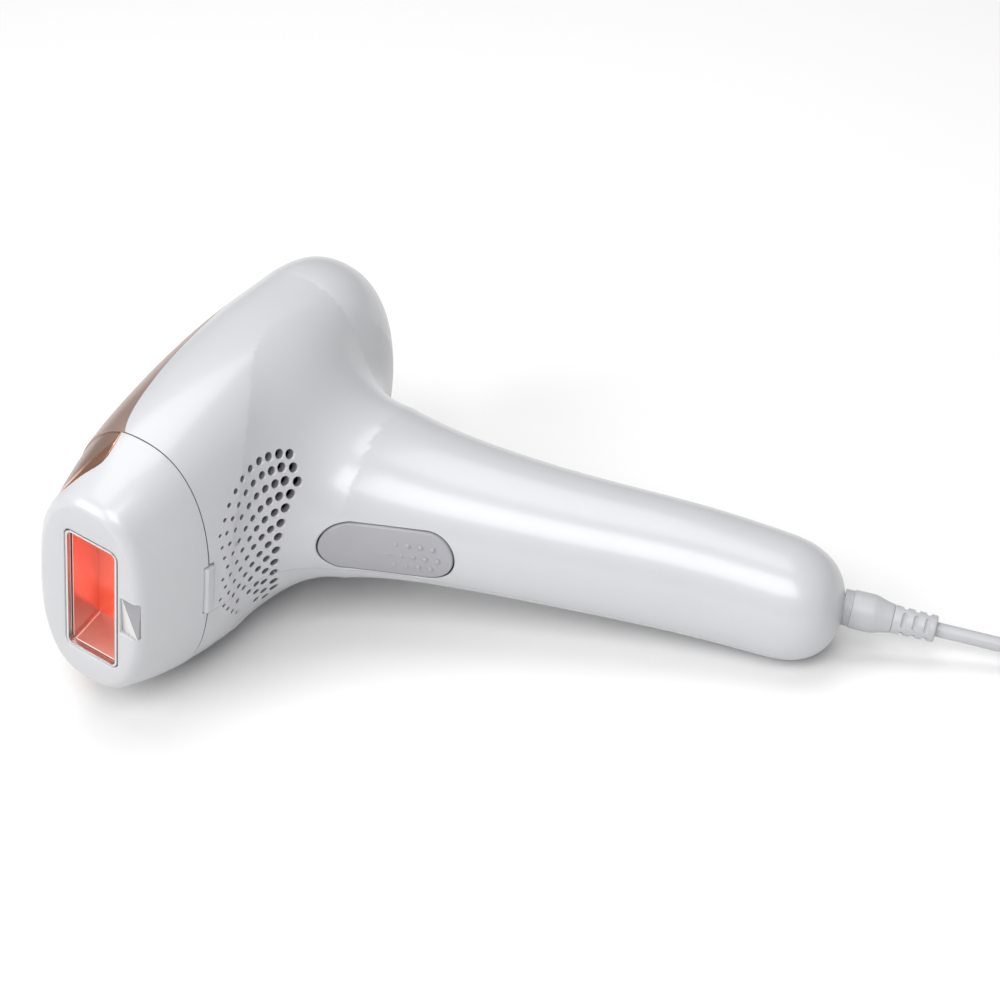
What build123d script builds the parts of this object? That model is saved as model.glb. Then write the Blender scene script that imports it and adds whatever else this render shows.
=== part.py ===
from build123d import *
import math
import os

# Pulsed-light hair remover: a hammer-shaped hand tool lying on its side, with its
# mains adapter lead put away in a neat coil beside it.
#
# The body is first drawn in its design frame (millimetres):
#   origin  centre of the light window, on the flat face that meets the skin
#   +X      from the light window towards the handle side
#   +Y      back into the head, away from the skin
#   +Z      across the head, square to its plane of symmetry
# and is then laid down on its side, so that the stored frame has +Z up, +X along
# the handle and its origin under the middle of the body.

# ---------------------------------------------------------------- driving sizes
# head: stations along Y, strip-side edge, handle-side edge, half height
head_y = [3.0, 12.0, 24.0, 42.0, 60.0, 80.0, 98.0]
head_xt = [-17.99, -20.63, -23.71, -27.13, -29.40, -30.66, -30.49]
head_xb = [15.76, 18.39, 20.99, 23.25, 23.46, 20.79, 15.95]
head_b = [31.25, 34.88, 38.15, 40.59, 41.20, 40.41, 38.61]
head_length = 132.29          # skin face to the back of the dome
dome_power = 2.119            # roundness of the dome
dome_tip_x = -14.34           # X of the dome's end
face_power, back_power = 2.567, 2.316
# handle: stations along its axis, finger-side edge, back edge, half width
grip_s = [16.0, 28.0, 40.0, 58.0, 86.0, 115.0, 144.0]
grip_hi = [-26.89, -23.18, -21.07, -19.34, -17.55, -16.44, -17.78]
grip_hb = [30.46, 26.26, 22.80, 19.55, 17.30, 16.34, 13.09]
grip_r2 = [26.10, 22.43, 20.11, 18.44, 17.37, 16.95, 15.90]
grip_start = (6.51, 68.96)    # where the handle's axis begins inside the head
grip_angle = 18.65            # handle's slant from square to the head
grip_length = 153.26
grip_close, grip_close_power = 17.81, 2.479
grip_power = 2.1
wall = 2.2                    # moulded wall of the two housing shells
parting_z = -9.0              # plane where the two housing shells meet

seam_y = 21.3                 # joint between attachment and housing
seam_gap = 0.3
window_x, window_z = 14.8, 38.0      # light window opening in the sprung frame
frame_wall = 0.7
filter_x, filter_z, filter_y = 12.5, 32.0, 10.9   # 4 square centimetre filter
button_s0, button_s1, button_w = 18.8, 53.6, 15.6  # flash button, along and across
button_travel = 1.0
key_r, key_travel = 4.5, 0.5         # power and intensity keys on the top cover
frame_travel = 1.0                   # sprung contact frame
cord_d = 3.8                         # low-voltage lead
rest_tilt, rest_roll = 10.05, -0.7   # lying attitude: about Y, then about X, degrees
shift = (-60.104, -65.986, 41.365)   # middle of the body's footprint, after tilting


# ---------------------------------------------------------------- smooth curves
def spline(xs, ys):
    """Natural cubic through the stations, as a function."""
    n = len(xs)
    h = [xs[i + 1] - xs[i] for i in range(n - 1)]
    a, b, c, r = [0.0] * n, [1.0] * n, [0.0] * n, [0.0] * n
    for i in range(1, n - 1):
        a[i], b[i], c[i] = h[i - 1], 2 * (h[i - 1] + h[i]), h[i]
        r[i] = 6 * ((ys[i + 1] - ys[i]) / h[i] - (ys[i] - ys[i - 1]) / h[i - 1])
    for i in range(1, n):
        w = a[i] / b[i - 1]
        b[i] -= w * c[i - 1]
        r[i] -= w * r[i - 1]
    m = [0.0] * n
    m[-1] = r[-1] / b[-1]
    for i in range(n - 2, -1, -1):
        m[i] = (r[i] - c[i] * m[i + 1]) / b[i]

    def f(x):
        i = 0
        while i < n - 2 and x > xs[i + 1]:
            i += 1
        p, q = (xs[i + 1] - x) / h[i], (x - xs[i]) / h[i]
        return p * ys[i] + q * ys[i + 1] + ((p**3 - p) * m[i] + (q**3 - q) * m[i + 1]) * h[i] ** 2 / 6

    return f


f_xt, f_xb, f_b = (spline(head_y, v) for v in (head_xt, head_xb, head_b))
f_hi, f_hb, f_r2 = (spline(grip_s, v) for v in (grip_hi, grip_hb, grip_r2))
ca, sa = math.cos(math.radians(grip_angle)), math.sin(math.radians(grip_angle))


def grip_point(s, u, z):
    """A point at s along the handle's axis, u towards its back, z across it."""
    return (grip_start[0] + ca * s - sa * u, grip_start[1] + sa * s + ca * u, z)


def ring(c, a, b, n, place, count=28):
    """A superellipse drawn as one closed smooth curve."""
    pts = []
    for k in range(count):
        t = 2 * math.pi * k / count
        co, si = math.cos(t), math.sin(t)
        r = (abs(co) ** n + abs(si) ** n) ** (-1 / n)
        pts.append(place(c + a * co * r, b * si * r))
    return Wire([Edge.make_spline([Vector(*p) for p in pts], periodic=True)])


def head_size(y, off=0.0):
    """Centre, half width and half height of the head's section at y."""
    y1 = head_y[-1]
    yy = min(y, y1)
    n = face_power + (back_power - face_power) * min(1.0, max(0.0, y / 40.0))
    xt, xb, b = f_xt(yy), f_xb(yy), f_b(yy)
    if y < 3.0:
        k = 2.0 * ((3.0 - y) / 3.0) ** 2
        xt, xb, b = xt + k, xb - k, b - k
    c, a = (xt + xb) / 2, (xb - xt) / 2 - off
    b -= off
    if y > y1:
        q = (y - y1) / (head_length - off - y1)
        k = max(0.0, 1 - q**dome_power) ** (1 / dome_power)
        c, a, b = c + (dome_tip_x - c) * q * q, a * k, b * k
    return c, a, b, n


def head_ring(y, off=0.0):
    c, a, b, n = head_size(y, off)
    return ring(c, a, b, n, lambda x, z: (x, y, z))


def head_body(y0, off=0.0):
    """The head from y0 to its dome, shrunk by off."""
    ys = [y0] + [y for y in (3, 7, 12, 17, 24, 34, 46, 60, 74, 86) if y > y0 + 2.0]
    y1 = head_y[-1]
    ys += [y1 + (head_length - off - y1) * math.sin(k * math.pi / 16) for k in range(8)]
    return Solid.make_loft([head_ring(y, off) for y in ys] + [Vertex(dome_tip_x, head_length - off, 0)])


def grip_size(s, off=0.0):
    c, a, r = (f_hi(s) + f_hb(s)) / 2, (f_hb(s) - f_hi(s)) / 2 - off, f_r2(s) - off
    s1 = grip_length - grip_close
    if s > s1:
        q = (s - s1) / (grip_close - off)
        k = max(0.0, 1 - q**grip_close_power) ** (1 / grip_close_power)
        a, r = a * k, r * k
    return c, a, r


def grip_ring(s, off=0.0):
    c, a, r = grip_size(s, off)
    return ring(c, a, r, grip_power, lambda u, z: grip_point(s, u, z))


def grip_body(s0, off=0.0):
    """The handle from s0 to its small flat end, shrunk by off."""
    ss = [s0] + [s for s in (22, 34, 48, 66, 86, 106, 124) if s > s0 + 4.0]
    s1 = grip_length - grip_close
    ss += [s1 + (grip_close - off) * math.sin(k * 0.22) for k in range(7)]
    return Solid.make_loft([grip_ring(s, off) for s in ss])


grip_end = grip_length - grip_close + grip_close * math.sin(1.32)
end_u = 0.0                   # the lead leaves on the handle's own axis


def box(x0, x1, y0, y1, z0, z1):
    return Pos((x0 + x1) / 2, (y0 + y1) / 2, (z0 + z1) / 2) * Box(abs(x1 - x0), abs(y1 - y0), abs(z1 - z0))


def rod(p, d, length, r):
    """A cylinder of radius r from point p along direction d."""
    return Plane(origin=p, z_dir=d) * Cylinder(r, length, align=(Align.CENTER, Align.CENTER, Align.MIN))


def one(s):
    """The single solid of a shape."""
    found = s.solids()
    return found[0] if len(found) == 1 else Compound(list(found))


def biggest(s):
    return max(s.solids(), key=lambda v: v.volume)


parts = {}

# ---------------------------------------------------------------- the housing
outer = head_body(seam_y + seam_gap).fuse(grip_body(10.0))
inner = head_body(seam_y - 2.0, wall).fuse(grip_body(8.0, wall))
shell = biggest(outer - inner)

# top cover: a thin skin over the strip side of the head, its outline seen along X
cover_pts = [(21.9, 36.9), (31.3, 37.2), (45.6, 36.8), (59.6, 36.0), (79.6, 33.4), (92.0, 29.3), (103.0, 22.4), (111.5, 12.5)]


def cover_face(grow, y0):
    """Outline of the top cover: parallel-sided, closing to a round tip at the back."""
    up = [Vector(-62, y, z + grow) for y, z in [(y0, cover_pts[0][1])] + cover_pts[1:]]
    up += [Vector(-62, 115.6 + grow, 0)]
    e1 = Edge.make_spline(up, tangents=[Vector(0, 1, 0.02), Vector(0, 0, -1)])
    e2 = e1.mirror(Plane.XY)
    e3 = Edge.make_line(Vector(-62, y0, -cover_pts[0][1] - grow), Vector(-62, y0, cover_pts[0][1] + grow))
    return Face(Wire([e1, e2, e3]))


cover_tool = Solid.extrude(cover_face(0.0, seam_y + seam_gap), Vector(59.5, 0, 0))
cover_pocket = Solid.extrude(cover_face(0.15, seam_y - 1.0), Vector(59.6, 0, 0))
skin_in = head_body(seam_y - 2.0, 1.2)
skin_pocket = head_body(seam_y - 2.0, 1.35)
head_solid = head_body(seam_y + seam_gap)
top_cover = biggest((head_solid & cover_tool) - skin_in)
shell = biggest(shell - (cover_pocket - skin_pocket))

# air inlet: small round holes in a fan pattern on the throat, under the handle
vents = [
    [(53.9, 23.0), (50.4, 25.0), (46.7, 26.2), (43.3, 26.8), (39.9, 26.5), (36.4, 25.6), (33.3, 23.8), (30.2, 21.5), (27.9, 18.4), (25.6, 14.9)],
    [(54.1, 19.0), (49.9, 21.5), (46.2, 22.6), (42.8, 23.2), (39.4, 22.8), (36.3, 21.8), (33.2, 20.0), (30.4, 17.5), (27.9, 14.5), (26.0, 10.9)],
    [(54.9, 14.2), (50.2, 17.3), (46.4, 18.7), (42.8, 19.3), (39.5, 19.0), (36.4, 17.9), (33.4, 16.2), (30.8, 13.8), (28.6, 10.7), (26.6, 7.2)],
    [(51.6, 12.4), (47.3, 14.3), (43.5, 15.1), (40.1, 14.8), (37.0, 13.8), (34.3, 12.1), (31.7, 9.8), (29.5, 7.0), (27.6, 3.7), (26.0, 0.2)],
    [(49.3, 9.3), (45.0, 10.6), (41.3, 10.6), (38.1, 9.8), (35.4, 8.2), (32.8, 6.0), (30.7, 3.3), (28.7, 0.3), (27.1, -3.0), (25.6, -6.6)],
    [(47.3, 5.6), (43.3, 6.2), (39.9, 5.7), (36.9, 4.4), (34.4, 2.3), (32.2, -0.2), (30.2, -3.0), (28.5, -6.0), (27.1, -9.3)],
    [(46.3, 1.6), (42.5, 1.4), (39.1, 0.5), (36.4, -1.3), (34.0, -3.3), (32.0, -6.0), (30.2, -8.9), (28.9, -12.2)],
    [(45.7, -2.7), (42.0, -3.2), (38.9, -4.6), (36.3, -6.4), (34.0, -8.7), (32.2, -11.6), (31.0, -14.7)],
    [(45.5, -6.9), (42.1, -7.9), (39.0, -9.3), (36.3, -11.2), (34.6, -14.0), (33.1, -16.8)],
    [(45.9, -11.0), (42.3, -11.9), (39.6, -13.7), (37.4, -16.0), (35.5, -18.3)],
    [(47.0, -15.3), (43.2, -16.1), (40.7, -17.7), (38.9, -20.0)],
    [(48.2, -18.9), (45.2, -20.1), (42.1, -21.0)],
]
vent_tools = []
for row in vents:
    for y, z in row:
        r = 0.42 + 0.78 * min(1.0, max(0.0, (y - 25.0) / 25.0))
        if abs(z - parting_z) < r + 0.25:
            z = parting_z + math.copysign(r + 0.25, z - parting_z)
        hc, ha, hb, hn = head_size(y)
        xs = hc + ha * (1 - (abs(z) / hb) ** hn) ** (1 / hn)
        vent_tools.append(rod((xs - 4.0, y, z), (1, 0, 0), 5.5, r))

# flash button and its opening on the finger side of the handle
bc = (button_s0 + button_s1) / 2


def stadium(grow, depth0, depth1):
    """A stadium prism across the handle's finger side, square to its axis."""
    w, length = button_w + 2 * grow, button_s1 - button_s0 + 2 * grow
    p = grip_point(bc, -40.0, 0)
    pl = Plane(origin=p, x_dir=(ca, sa, 0), z_dir=(-sa, ca, 0))
    sk = pl * SlotOverall(length, w)
    return Solid.extrude(sk.faces()[0], Vector(-sa, ca, 0) * (depth1 - depth0))


grip_solid = grip_body(10.0)
half_grip = stadium(0.0, 0, 36)
button_skin = biggest((grip_solid & half_grip) - grip_body(8.0, 3.2))
button_lip = biggest((grip_body(8.0, 2.5) & stadium(1.3, 0, 36)) - grip_body(8.0, 3.2))
flash_button = biggest(button_skin.fuse(button_lip))
for s, z in [(36.95 + 3.16 * k, 0.0) for k in range(5)] + [(38.5 + 3.16 * k, w) for k in range(4) for w in (-3.35, 3.35)]:
    c, a, r = grip_size(s)
    u = c - a * (1 - (abs(z) / r) ** grip_power) ** (1 / grip_power)
    flash_button = flash_button.fuse(Pos(*grip_point(s, u + 0.42, z)) * Sphere(0.8))
c, a, r = grip_size(44.0)
flash_button = biggest(flash_button.fuse(rod(grip_point(44.0, c - a + 2.4, 0), (-sa, ca, 0), 2.3, 1.7)))
parts["flash_button"] = flash_button
shell = shell - stadium(0.35, 0, 36)

# keys and light pipes on the top cover
key_at = {"intensity_button": 84.5, "power_button": 97.0}
for name, y in key_at.items():
    hole = rod((-45, y, 0), (1, 0, 0), 30.0, key_r + 0.3)
    shell, top_cover = shell - hole, top_cover - hole
    key = rod((-31.3, y, 0), (1, 0, 0), 3.6, key_r).fuse(rod((-27.95, y, 0), (1, 0, 0), 0.5, key_r + 0.6))
    parts[name] = one(key.fuse(rod((-27.5, y, 0), (1, 0, 0), 0.15, 1.6)))
lights = [(76.0, w) for w in (-11.0, -5.5, 0.0, 5.5, 11.0)]
lenses = []
for y, z in lights:
    hole = rod((-45, y, z), (1, 0, 0), 30.0, 1.15)
    shell, top_cover = shell - hole, top_cover - hole
    c, a, b, n = head_size(y)
    xs = c - a * (1 - (abs(z) / b) ** n) ** (1 / n)
    lenses.append(rod((xs + 0.05, y, z), (1, 0, 0), 4.2, 1.05))
parts["indicator_lenses"] = Compound(lenses)
parts["top_cover"] = biggest(top_cover)

# lead socket bore at the end of the handle
bore = rod(grip_point(grip_end - 12.0, end_u, 0), (ca, sa, 0), 14.0, 3.4)
shell = shell - bore
# notch for the attachment's release tab
tab_box = box(19.0, 26.0, 20.0, 23.1, -8.2, 8.2)
shell = biggest(shell - tab_box)

upper = shell & box(-60, 180, 0, 160, parting_z, 60)
lower = shell & box(-60, 180, 0, 160, -60, parting_z)
up_vents = [v for v in vent_tools if v.center().Z > parting_z]
low_vents = [v for v in vent_tools if v.center().Z < parting_z]
parts["upper_shell"] = biggest(upper.cut(*up_vents))
parts["lower_shell"] = biggest(lower.cut(*low_vents))

# ---------------------------------------------------------------- the attachment
def att_body(off, y0, y1):
    """The attachment's outside: a soft-edged face, then the flaring side."""
    side = Solid.make_loft([head_ring(y, off) for y in (3.0, 7.5, 12.0, 16.5, y1)])
    if y0 >= 3.0:
        return side
    return side.fuse(Solid.make_loft([head_ring(y, off) for y in (y0, (y0 + 3.0) / 2 - 0.2, 3.0)]))


def rect(w, h, y0, y1, r, x=0.0):
    """A rounded rectangle prism along Y."""
    f = Plane(origin=(x, y0, 0), x_dir=(1, 0, 0), z_dir=(0, 1, 0)) * RectangleRounded(w, h, r)
    return Solid.extrude(f.faces()[0], Vector(0, y1 - y0, 0))


att_out = att_body(0.0, 0.0, seam_y)
att_in = att_body(2.0, 1.9, seam_y + 1.0)
tunnel_x, tunnel_z = window_x + 2 * frame_wall + 0.6, window_z + 2 * frame_wall + 0.6
att = att_out - att_in - rect(tunnel_x, tunnel_z, -1.0, 3.0, 2.3)
# sensor pocket, an upright rounded rectangle beside the window
sens_x, sens_w, sens_h = 11.4, 4.4, 12.2
att = att - rect(sens_w, sens_h, -1.0, 3.0, 0.7, sens_x)
# inlay on the strip side, its outline seen along X
inlay_out = [(21.3, 36.9), (19.8, 36.6), (15.1, 35.5), (10.1, 33.6), (6.3, 30.9), (3.7, 28.1), (2.9, 26.0)]
inlay_in = [(21.3, 36.75), (19.7, 36.4), (15.3, 34.6), (10.7, 31.8), (7.7, 29.2), (5.8, 26.6), (4.9, 24.0)]


def inlay_face(pts, y0, grow=0.0):
    up = [Vector(-50, y - grow * 0.6, z + grow) for y, z in pts]
    low = [Vector(-50, y - grow * 0.6, -z - grow) for y, z in reversed(pts)]
    e1, e3 = Edge.make_spline(up), Edge.make_spline(low)
    mid = Edge.make_spline([up[-1], Vector(-50, up[-1].Y - 0.35, 0), low[0]])
    e4 = Edge.make_line(low[-1], Vector(-50, y0, low[-1].Z))
    e5 = Edge.make_line(Vector(-50, y0, low[-1].Z), Vector(-50, y0, up[0].Z))
    e6 = Edge.make_line(Vector(-50, y0, up[0].Z), up[0])
    return Face(Wire([e1, mid, e3, e4, e5, e6]))


def skin(off0, off1, y1):
    return att_body(off0, 1.0, y1) - att_body(off1, 0.0, y1 + 1.0)


t_out = Solid.extrude(inlay_face(inlay_out, 22.5), Vector(44.0, 0, 0))
t_in = Solid.extrude(inlay_face(inlay_in, 22.5), Vector(44.2, 0, 0))
t_pocket = Solid.extrude(inlay_face(inlay_out, 22.6, 0.12), Vector(44.1, 0, 0))
pocket = t_pocket - att_body(1.35, 0.0, seam_y + 2.0)
att = att - pocket - box(19.0, 26.0, seam_y - 1.6, seam_y + 1.0, -7.9, 7.9)
parts["attachment_shell"] = biggest(att)
parts["inlay_bezel"] = biggest((skin(0.1, 1.2, seam_y) & t_out) - t_in)
parts["attachment_inlay"] = biggest(skin(0.55, 1.2, seam_y) & Solid.extrude(inlay_face(inlay_in, 22.5, -0.08), Vector(44.0, 0, 0)))
# release tab bridging the seam on the handle side
tab_c, tab_a, tab_b, tab_n = head_size(seam_y)
tx = tab_c + tab_a
tab = box(tx - 1.3, tx + 0.75, seam_y - 1.5, 22.9, -7.5, 7.5)
tab = tab.fillet(0.6, tab.edges().filter_by(Axis.Z).filter_by(lambda e: e.center().X > tx))
tab = tab.fillet(0.5, tab.faces().sort_by(Axis.X)[-1].edges().filter_by(Axis.Y))
parts["release_tab"] = one(tab)

# sprung contact frame round the light window
frame = rect(window_x + 2 * frame_wall, window_z + 2 * frame_wall, 0.0, 4.2, 2.0) + rect(18.6, 42.0, 2.15, 3.1, 2.6)
frame = frame - rect(window_x, window_z, -1.0, 6.0, 1.4)
parts["contact_frame"] = one(frame)

# mirror-walled light guide, filter glass behind it, and the carrier at the back
g_in = Solid.make_loft([rect_w for rect_w in [
    (Plane(origin=(0, 1.6, 0), x_dir=(1, 0, 0), z_dir=(0, 1, 0)) * RectangleRounded(13.6, 37.0, 0.9)).faces()[0].outer_wire(),
    (Plane(origin=(0, filter_y, 0), x_dir=(1, 0, 0), z_dir=(0, 1, 0)) * RectangleRounded(filter_x, filter_z, 0.6)).faces()[0].outer_wire()]])
g_out = Solid.make_loft([rect_w for rect_w in [
    (Plane(origin=(0, 1.6, 0), x_dir=(1, 0, 0), z_dir=(0, 1, 0)) * RectangleRounded(14.2, 37.4, 1.2)).faces()[0].outer_wire(),
    (Plane(origin=(0, filter_y, 0), x_dir=(1, 0, 0), z_dir=(0, 1, 0)) * RectangleRounded(13.6, 33.2, 1.0)).faces()[0].outer_wire()]])
guide = g_out + rect(19.6, 44.0, 7.6, 8.6, 1.5) + rect(17.6, 37.0, filter_y, filter_y + 1.9, 1.2)
guide = guide - g_in - rect(15.0, 34.5, filter_y, filter_y + 2.5, 0.6)
parts["light_guide"] = biggest(guide)
parts["colour_filter"] = rect(14.9, 34.4, filter_y + 0.05, filter_y + 1.25, 0.6)
parts["frame_springs"] = Compound([rod((x, 3.15, z), (0, 1, 0), 4.4, 0.6) - rod((x, 3.0, z), (0, 1, 0), 5.0, 0.3) for x in (-5.5, 5.5) for z in (-20.4, 20.4)])
carrier = Solid.make_loft([head_ring(y, 2.15) for y in (16.2, 18.0)]) - rect(17.8, 37.2, 15.0, 20.0, 1.3)
carrier = carrier + (rect(20.4, 39.8, 12.0, 17.0, 1.6) - rect(17.8, 37.2, 11.0, 20.0, 1.3))
carrier = carrier + rect(20.4, 44.8, 8.65, 12.5, 1.6) - rect(17.8, 37.2, 8.0, 20.0, 1.3)
parts["attachment_carrier"] = biggest(carrier)
# skin-tone sensor: a lens with one slanted facet across its pocket, on its board
lens = rect(sens_w - 0.1, sens_h - 0.1, 0.35, 1.9, 0.6, sens_x)
facet = Plane(origin=(sens_x - 2.6, 0.2, 6.4), x_dir=(0.36, 0.0, -0.93), z_dir=(0.93, -0.33, 0.36)) * Box(40, 40, 0.9, align=(Align.CENTER, Align.CENTER, Align.MIN))
parts["skin_sensor_lens"] = one(lens)
parts["skin_sensor_board"] = box(9.7, 13.3, 2.0, 2.9, -6.4, 6.4)

# ---------------------------------------------------------------- lamp module
front = Solid.make_loft([head_ring(y, wall + 0.1) for y in (22.0, 24.2)]) - rect(13.0, 33.0, 21.0, 26.0, 0.8)
screws = []
for x in (-12.0, 8.5):
    for z in (-26.0, 26.0):
        front = front - rod((x, 21.0, z), (0, 1, 0), 2.2, 2.15) - rod((x, 21.0, z), (0, 1, 0), 5.0, 1.1)
        screws.append(one(rod((x, 22.1, z), (0, 1, 0), 1.1, 2.0).fuse(rod((x, 23.2, z), (0, 1, 0), 7.0, 1.0))))
parts["front_bulkhead"] = biggest(front)
parts["bulkhead_screws"] = Compound(screws)
parts["uv_filter_glass"] = rect(15.0, 35.0, 24.3, 25.7, 0.6)
# trough reflector: a parabola in the X-Y plane, run along Z
lamp_y, lamp_r = 38.0, 3.0
def parabola(grow):
    pts = [Vector(0.1625 * 0 + w, 43.5 + grow - 0.36 * w * w + 0.0, -19.0) for w in (-7.0 - grow, -5.0 - grow, -2.6, 0.0, 2.6, 5.0 + grow, 7.0 + grow)]
    pts = [Vector(w, 43.0 + grow - 0.34 * (abs(w) - grow * min(1, abs(w) / 5)) ** 2, -19.0) for w in (-7.0 - grow, -5.0 - grow, -2.6, 0.0, 2.6, 5.0 + grow, 7.0 + grow)]
    e = Edge.make_spline(pts)
    return Face(Wire([e, Edge.make_line(pts[-1], pts[0])]))
refl = Solid.extrude(parabola(0.6), Vector(0, 0, 38.0)) - Pos(0, 0, -1) * Solid.extrude(parabola(0.0), Vector(0, 0, 40.0))
refl = refl - box(-20, 20, 10, 26.4, -30, 30)
parts["lamp_reflector"] = biggest(refl)
parts["flash_lamp"] = one(rod((0, lamp_y - 1.0, -25.0), (0, 0, 1), 50.0, lamp_r))
holders = []
for k in (-1, 1):
    blk = box(-14.5, 11.5, 24.4, 44.0, k * 19.15, k * 29.8)
    blk = blk - box(-7.6, 7.6, 24.0, 25.8, k * 19.0, k * 19.0) if False else blk
    blk = blk - rod((0, lamp_y - 1.0, k * 15.0), (0, 0, k), 20.0, lamp_r + 0.08)
    for x in (-12.0, 8.5):
        blk = blk - rod((x, 24.0, k * 26.0), (0, 1, 0), 7.0, 1.03)
    holders.append(one(blk))
parts["lamp_holders"] = Compound(holders)
parts["lamp_caps"] = Compound([one(rod((0, lamp_y - 1.0, k * 25.05), (0, 0, k), 4.2, 2.6)) for k in (-1, 1)])

# ---------------------------------------------------------------- chassis, fan, boards
chassis = box(-10, -2, 46.0, 110, 30.0, 32.0) + box(-10, -2, 46.0, 110, -32.0, -30.0) + box(-23, 15, 72.0, 73.6, -21, 21) + box(-10, -2, 72.0, 73.6, -30.5, 30.5)
chassis = chassis + box(-10, -2, 44.1, 46.0, 20, 32.0) + box(-10, -2, 44.1, 46.0, -32.0, -20)
chassis = chassis - rod((-4, 70, 0), (0, 1, 0), 6.0, 17.5)
chassis = chassis - box(-8.1, -6.3, 75.0, 111.0, -30.6, 30.6)
parts["inner_chassis"] = one(chassis)
fan_x, fan_y0 = -4.0, 60.5
fan = box(-23, 15, fan_y0, 71.9, -19.0, 19.0)
fan = fan.fillet(3.0, fan.edges().filter_by(Axis.Y))
fan = fan - rod((fan_x, 55, 0), (0, 1, 0), 15.3, 18.0)
fan = fan - rod((fan_x, 55, 0), (0, 1, 0), 20.0, 16.5) + rod((fan_x, 70.3, 0), (0, 1, 0), 1.6, 7.0)
fan = fan + box(fan_x - 17, fan_x + 17, 70.3, 71.9, -1.2, 1.2) + box(fan_x - 1.2, fan_x + 1.2, 70.3, 71.9, -17, 17)
fan = fan + rod((fan_x, 66.0, 0), (0, 1, 0), 5.0, 1.0)
parts["fan_housing"] = biggest(fan)
rotor = rod((fan_x, 61.2, 0), (0, 1, 0), 8.4, 7.5)
for k in range(7):
    blade = Pos(fan_x, 65.4, 0) * Rot(0, 360 / 7 * k, 0) * Pos(12.1, 0, 0) * Rot(38, 0, 0) * Box(10.4, 1.1, 9.0)
    rotor = rotor + blade
rotor = rotor & rod((fan_x, 61.2, 0), (0, 1, 0), 8.4, 17.5)
rotor = rotor - rod((fan_x, 65.5, 0), (0, 1, 0), 6.0, 1.05)
parts["fan_rotor"] = biggest(rotor)
parts["main_board"] = box(-8.0, -6.4, 75.0, 111.0, -30.0, 30.0)
parts["charging_transformer"] = one(box(-6.35, 7.0, 79.0, 95.0, -24.0, -8.0) + box(-6.35, 4.5, 77.0, 97.0, -21.0, -11.0))
parts["trigger_coil"] = one(rod((-6.35, 84.0, 8.0), (1, 0, 0), 11.0, 5.5))
parts["control_board"] = box(-24.4, -23.0, 75.0, 106.0, -14.0, 14.0)
cap_u = grip_size(96.0)[0]
parts["flash_capacitor"] = one(rod(grip_point(64.0, cap_u, 0), (ca, sa, 0), 64.0, 11.0))
clips = []
for s in (72.0, 112.0):
    c, a, r = grip_size(s)
    c1, a1, r1 = grip_size(s + 8.0)
    sleeve = Solid.make_loft([grip_ring(s, wall + 0.25), grip_ring(s + 8.0, wall + 0.25)]) - rod(grip_point(s - 2, cap_u, 0), (ca, sa, 0), 14.0, 11.05)
    clips.append(one(sleeve))
parts["capacitor_collars"] = Compound(clips)
# switches: two under the keys, one under the flash button on its own small board
sw = []
for y in key_at.values():
    sw.append(one(box(-26.2, -24.45, y - 3, y + 3, -3, 3) + rod((-26.8, y, 0), (1, 0, 0), 0.7, 1.6)))
c, a, r = grip_size(44.0)
ub = c - a + 2.4 + 2.3 + button_travel
pb = Plane(origin=grip_point(44.0, ub + 0.1, 0), x_dir=(ca, sa, 0), z_dir=(-sa, ca, 0))
sw.append(one(pb * (Cylinder(1.6, 0.7, align=(Align.CENTER, Align.CENTER, Align.MIN)) + Pos(0, 0, 0.6) * Box(6, 6, 1.8, align=(Align.CENTER, Align.CENTER, Align.MIN)))))
parts["tact_switches"] = Compound(sw)
parts["button_board"] = one(pb * Pos(-6, 0, 2.45) * Box(26, 12, 1.2, align=(Align.CENTER, Align.CENTER, Align.MIN)))

# ---------------------------------------------------------------- lead socket and plug
ax = (ca, sa, 0)
sock = rod(grip_point(grip_end - 15.0, end_u, 0), ax, 15.0, 3.3) + rod(grip_point(grip_end - 15.0, end_u, 0), ax, 11.6, 4.8)
sock = sock - rod(grip_point(grip_end - 10.5, end_u, 0), ax, 12.0, 2.8)
parts["lead_socket"] = one(sock)
plug_start = grip_end + 0.05


def round_body(stations):
    """A turned body on the lead's axis: (distance, radius) stations."""
    pts = [Vector(0, 0, stations[0][0])] + [Vector(r, 0, d) for d, r in stations] + [Vector(0, 0, stations[-1][0])]
    f = Face(Wire.make_polygon([Vector(*p) for p in pts], close=True))
    s = Solid.revolve(f, 360, Axis.Z)
    return Plane(origin=grip_point(plug_start, end_u, 0), x_dir=(-sa, ca, 0), z_dir=ax) * s


plug = round_body([(0, 4.6), (0.15, 4.75), (2.3, 4.75), (2.3, 4.95), (5.0, 5.05), (7.5, 5.05), (9.0, 4.75), (10.5, 4.3), (12.6, 3.85), (13.2, 3.75)])
parts["lead_plug"] = one(plug)
barrel = rod(grip_point(plug_start - 9.5, end_u, 0), ax, 9.5, 2.75) - rod(grip_point(plug_start - 9.6, end_u, 0), ax, 8.0, 1.1)
parts["plug_barrel"] = one(barrel)
relief = round_body([(13.25, 3.72), (15.0, 3.65), (24.0, 3.5), (24.5, 3.2)])
slots = []
for k in range(3):
    for t in range(4):
        seg = Plane(origin=grip_point(plug_start + 16.0 + 3.0 * k, end_u, 0), x_dir=(-sa, ca, 0), z_dir=ax)
        relief = relief - seg * Rot(0, 0, 90 * t + 45) * Pos(3.9, 0, 0) * Box(2.6, 4.0, 1.3)
parts["plug_strain_relief"] = one(relief)

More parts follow.
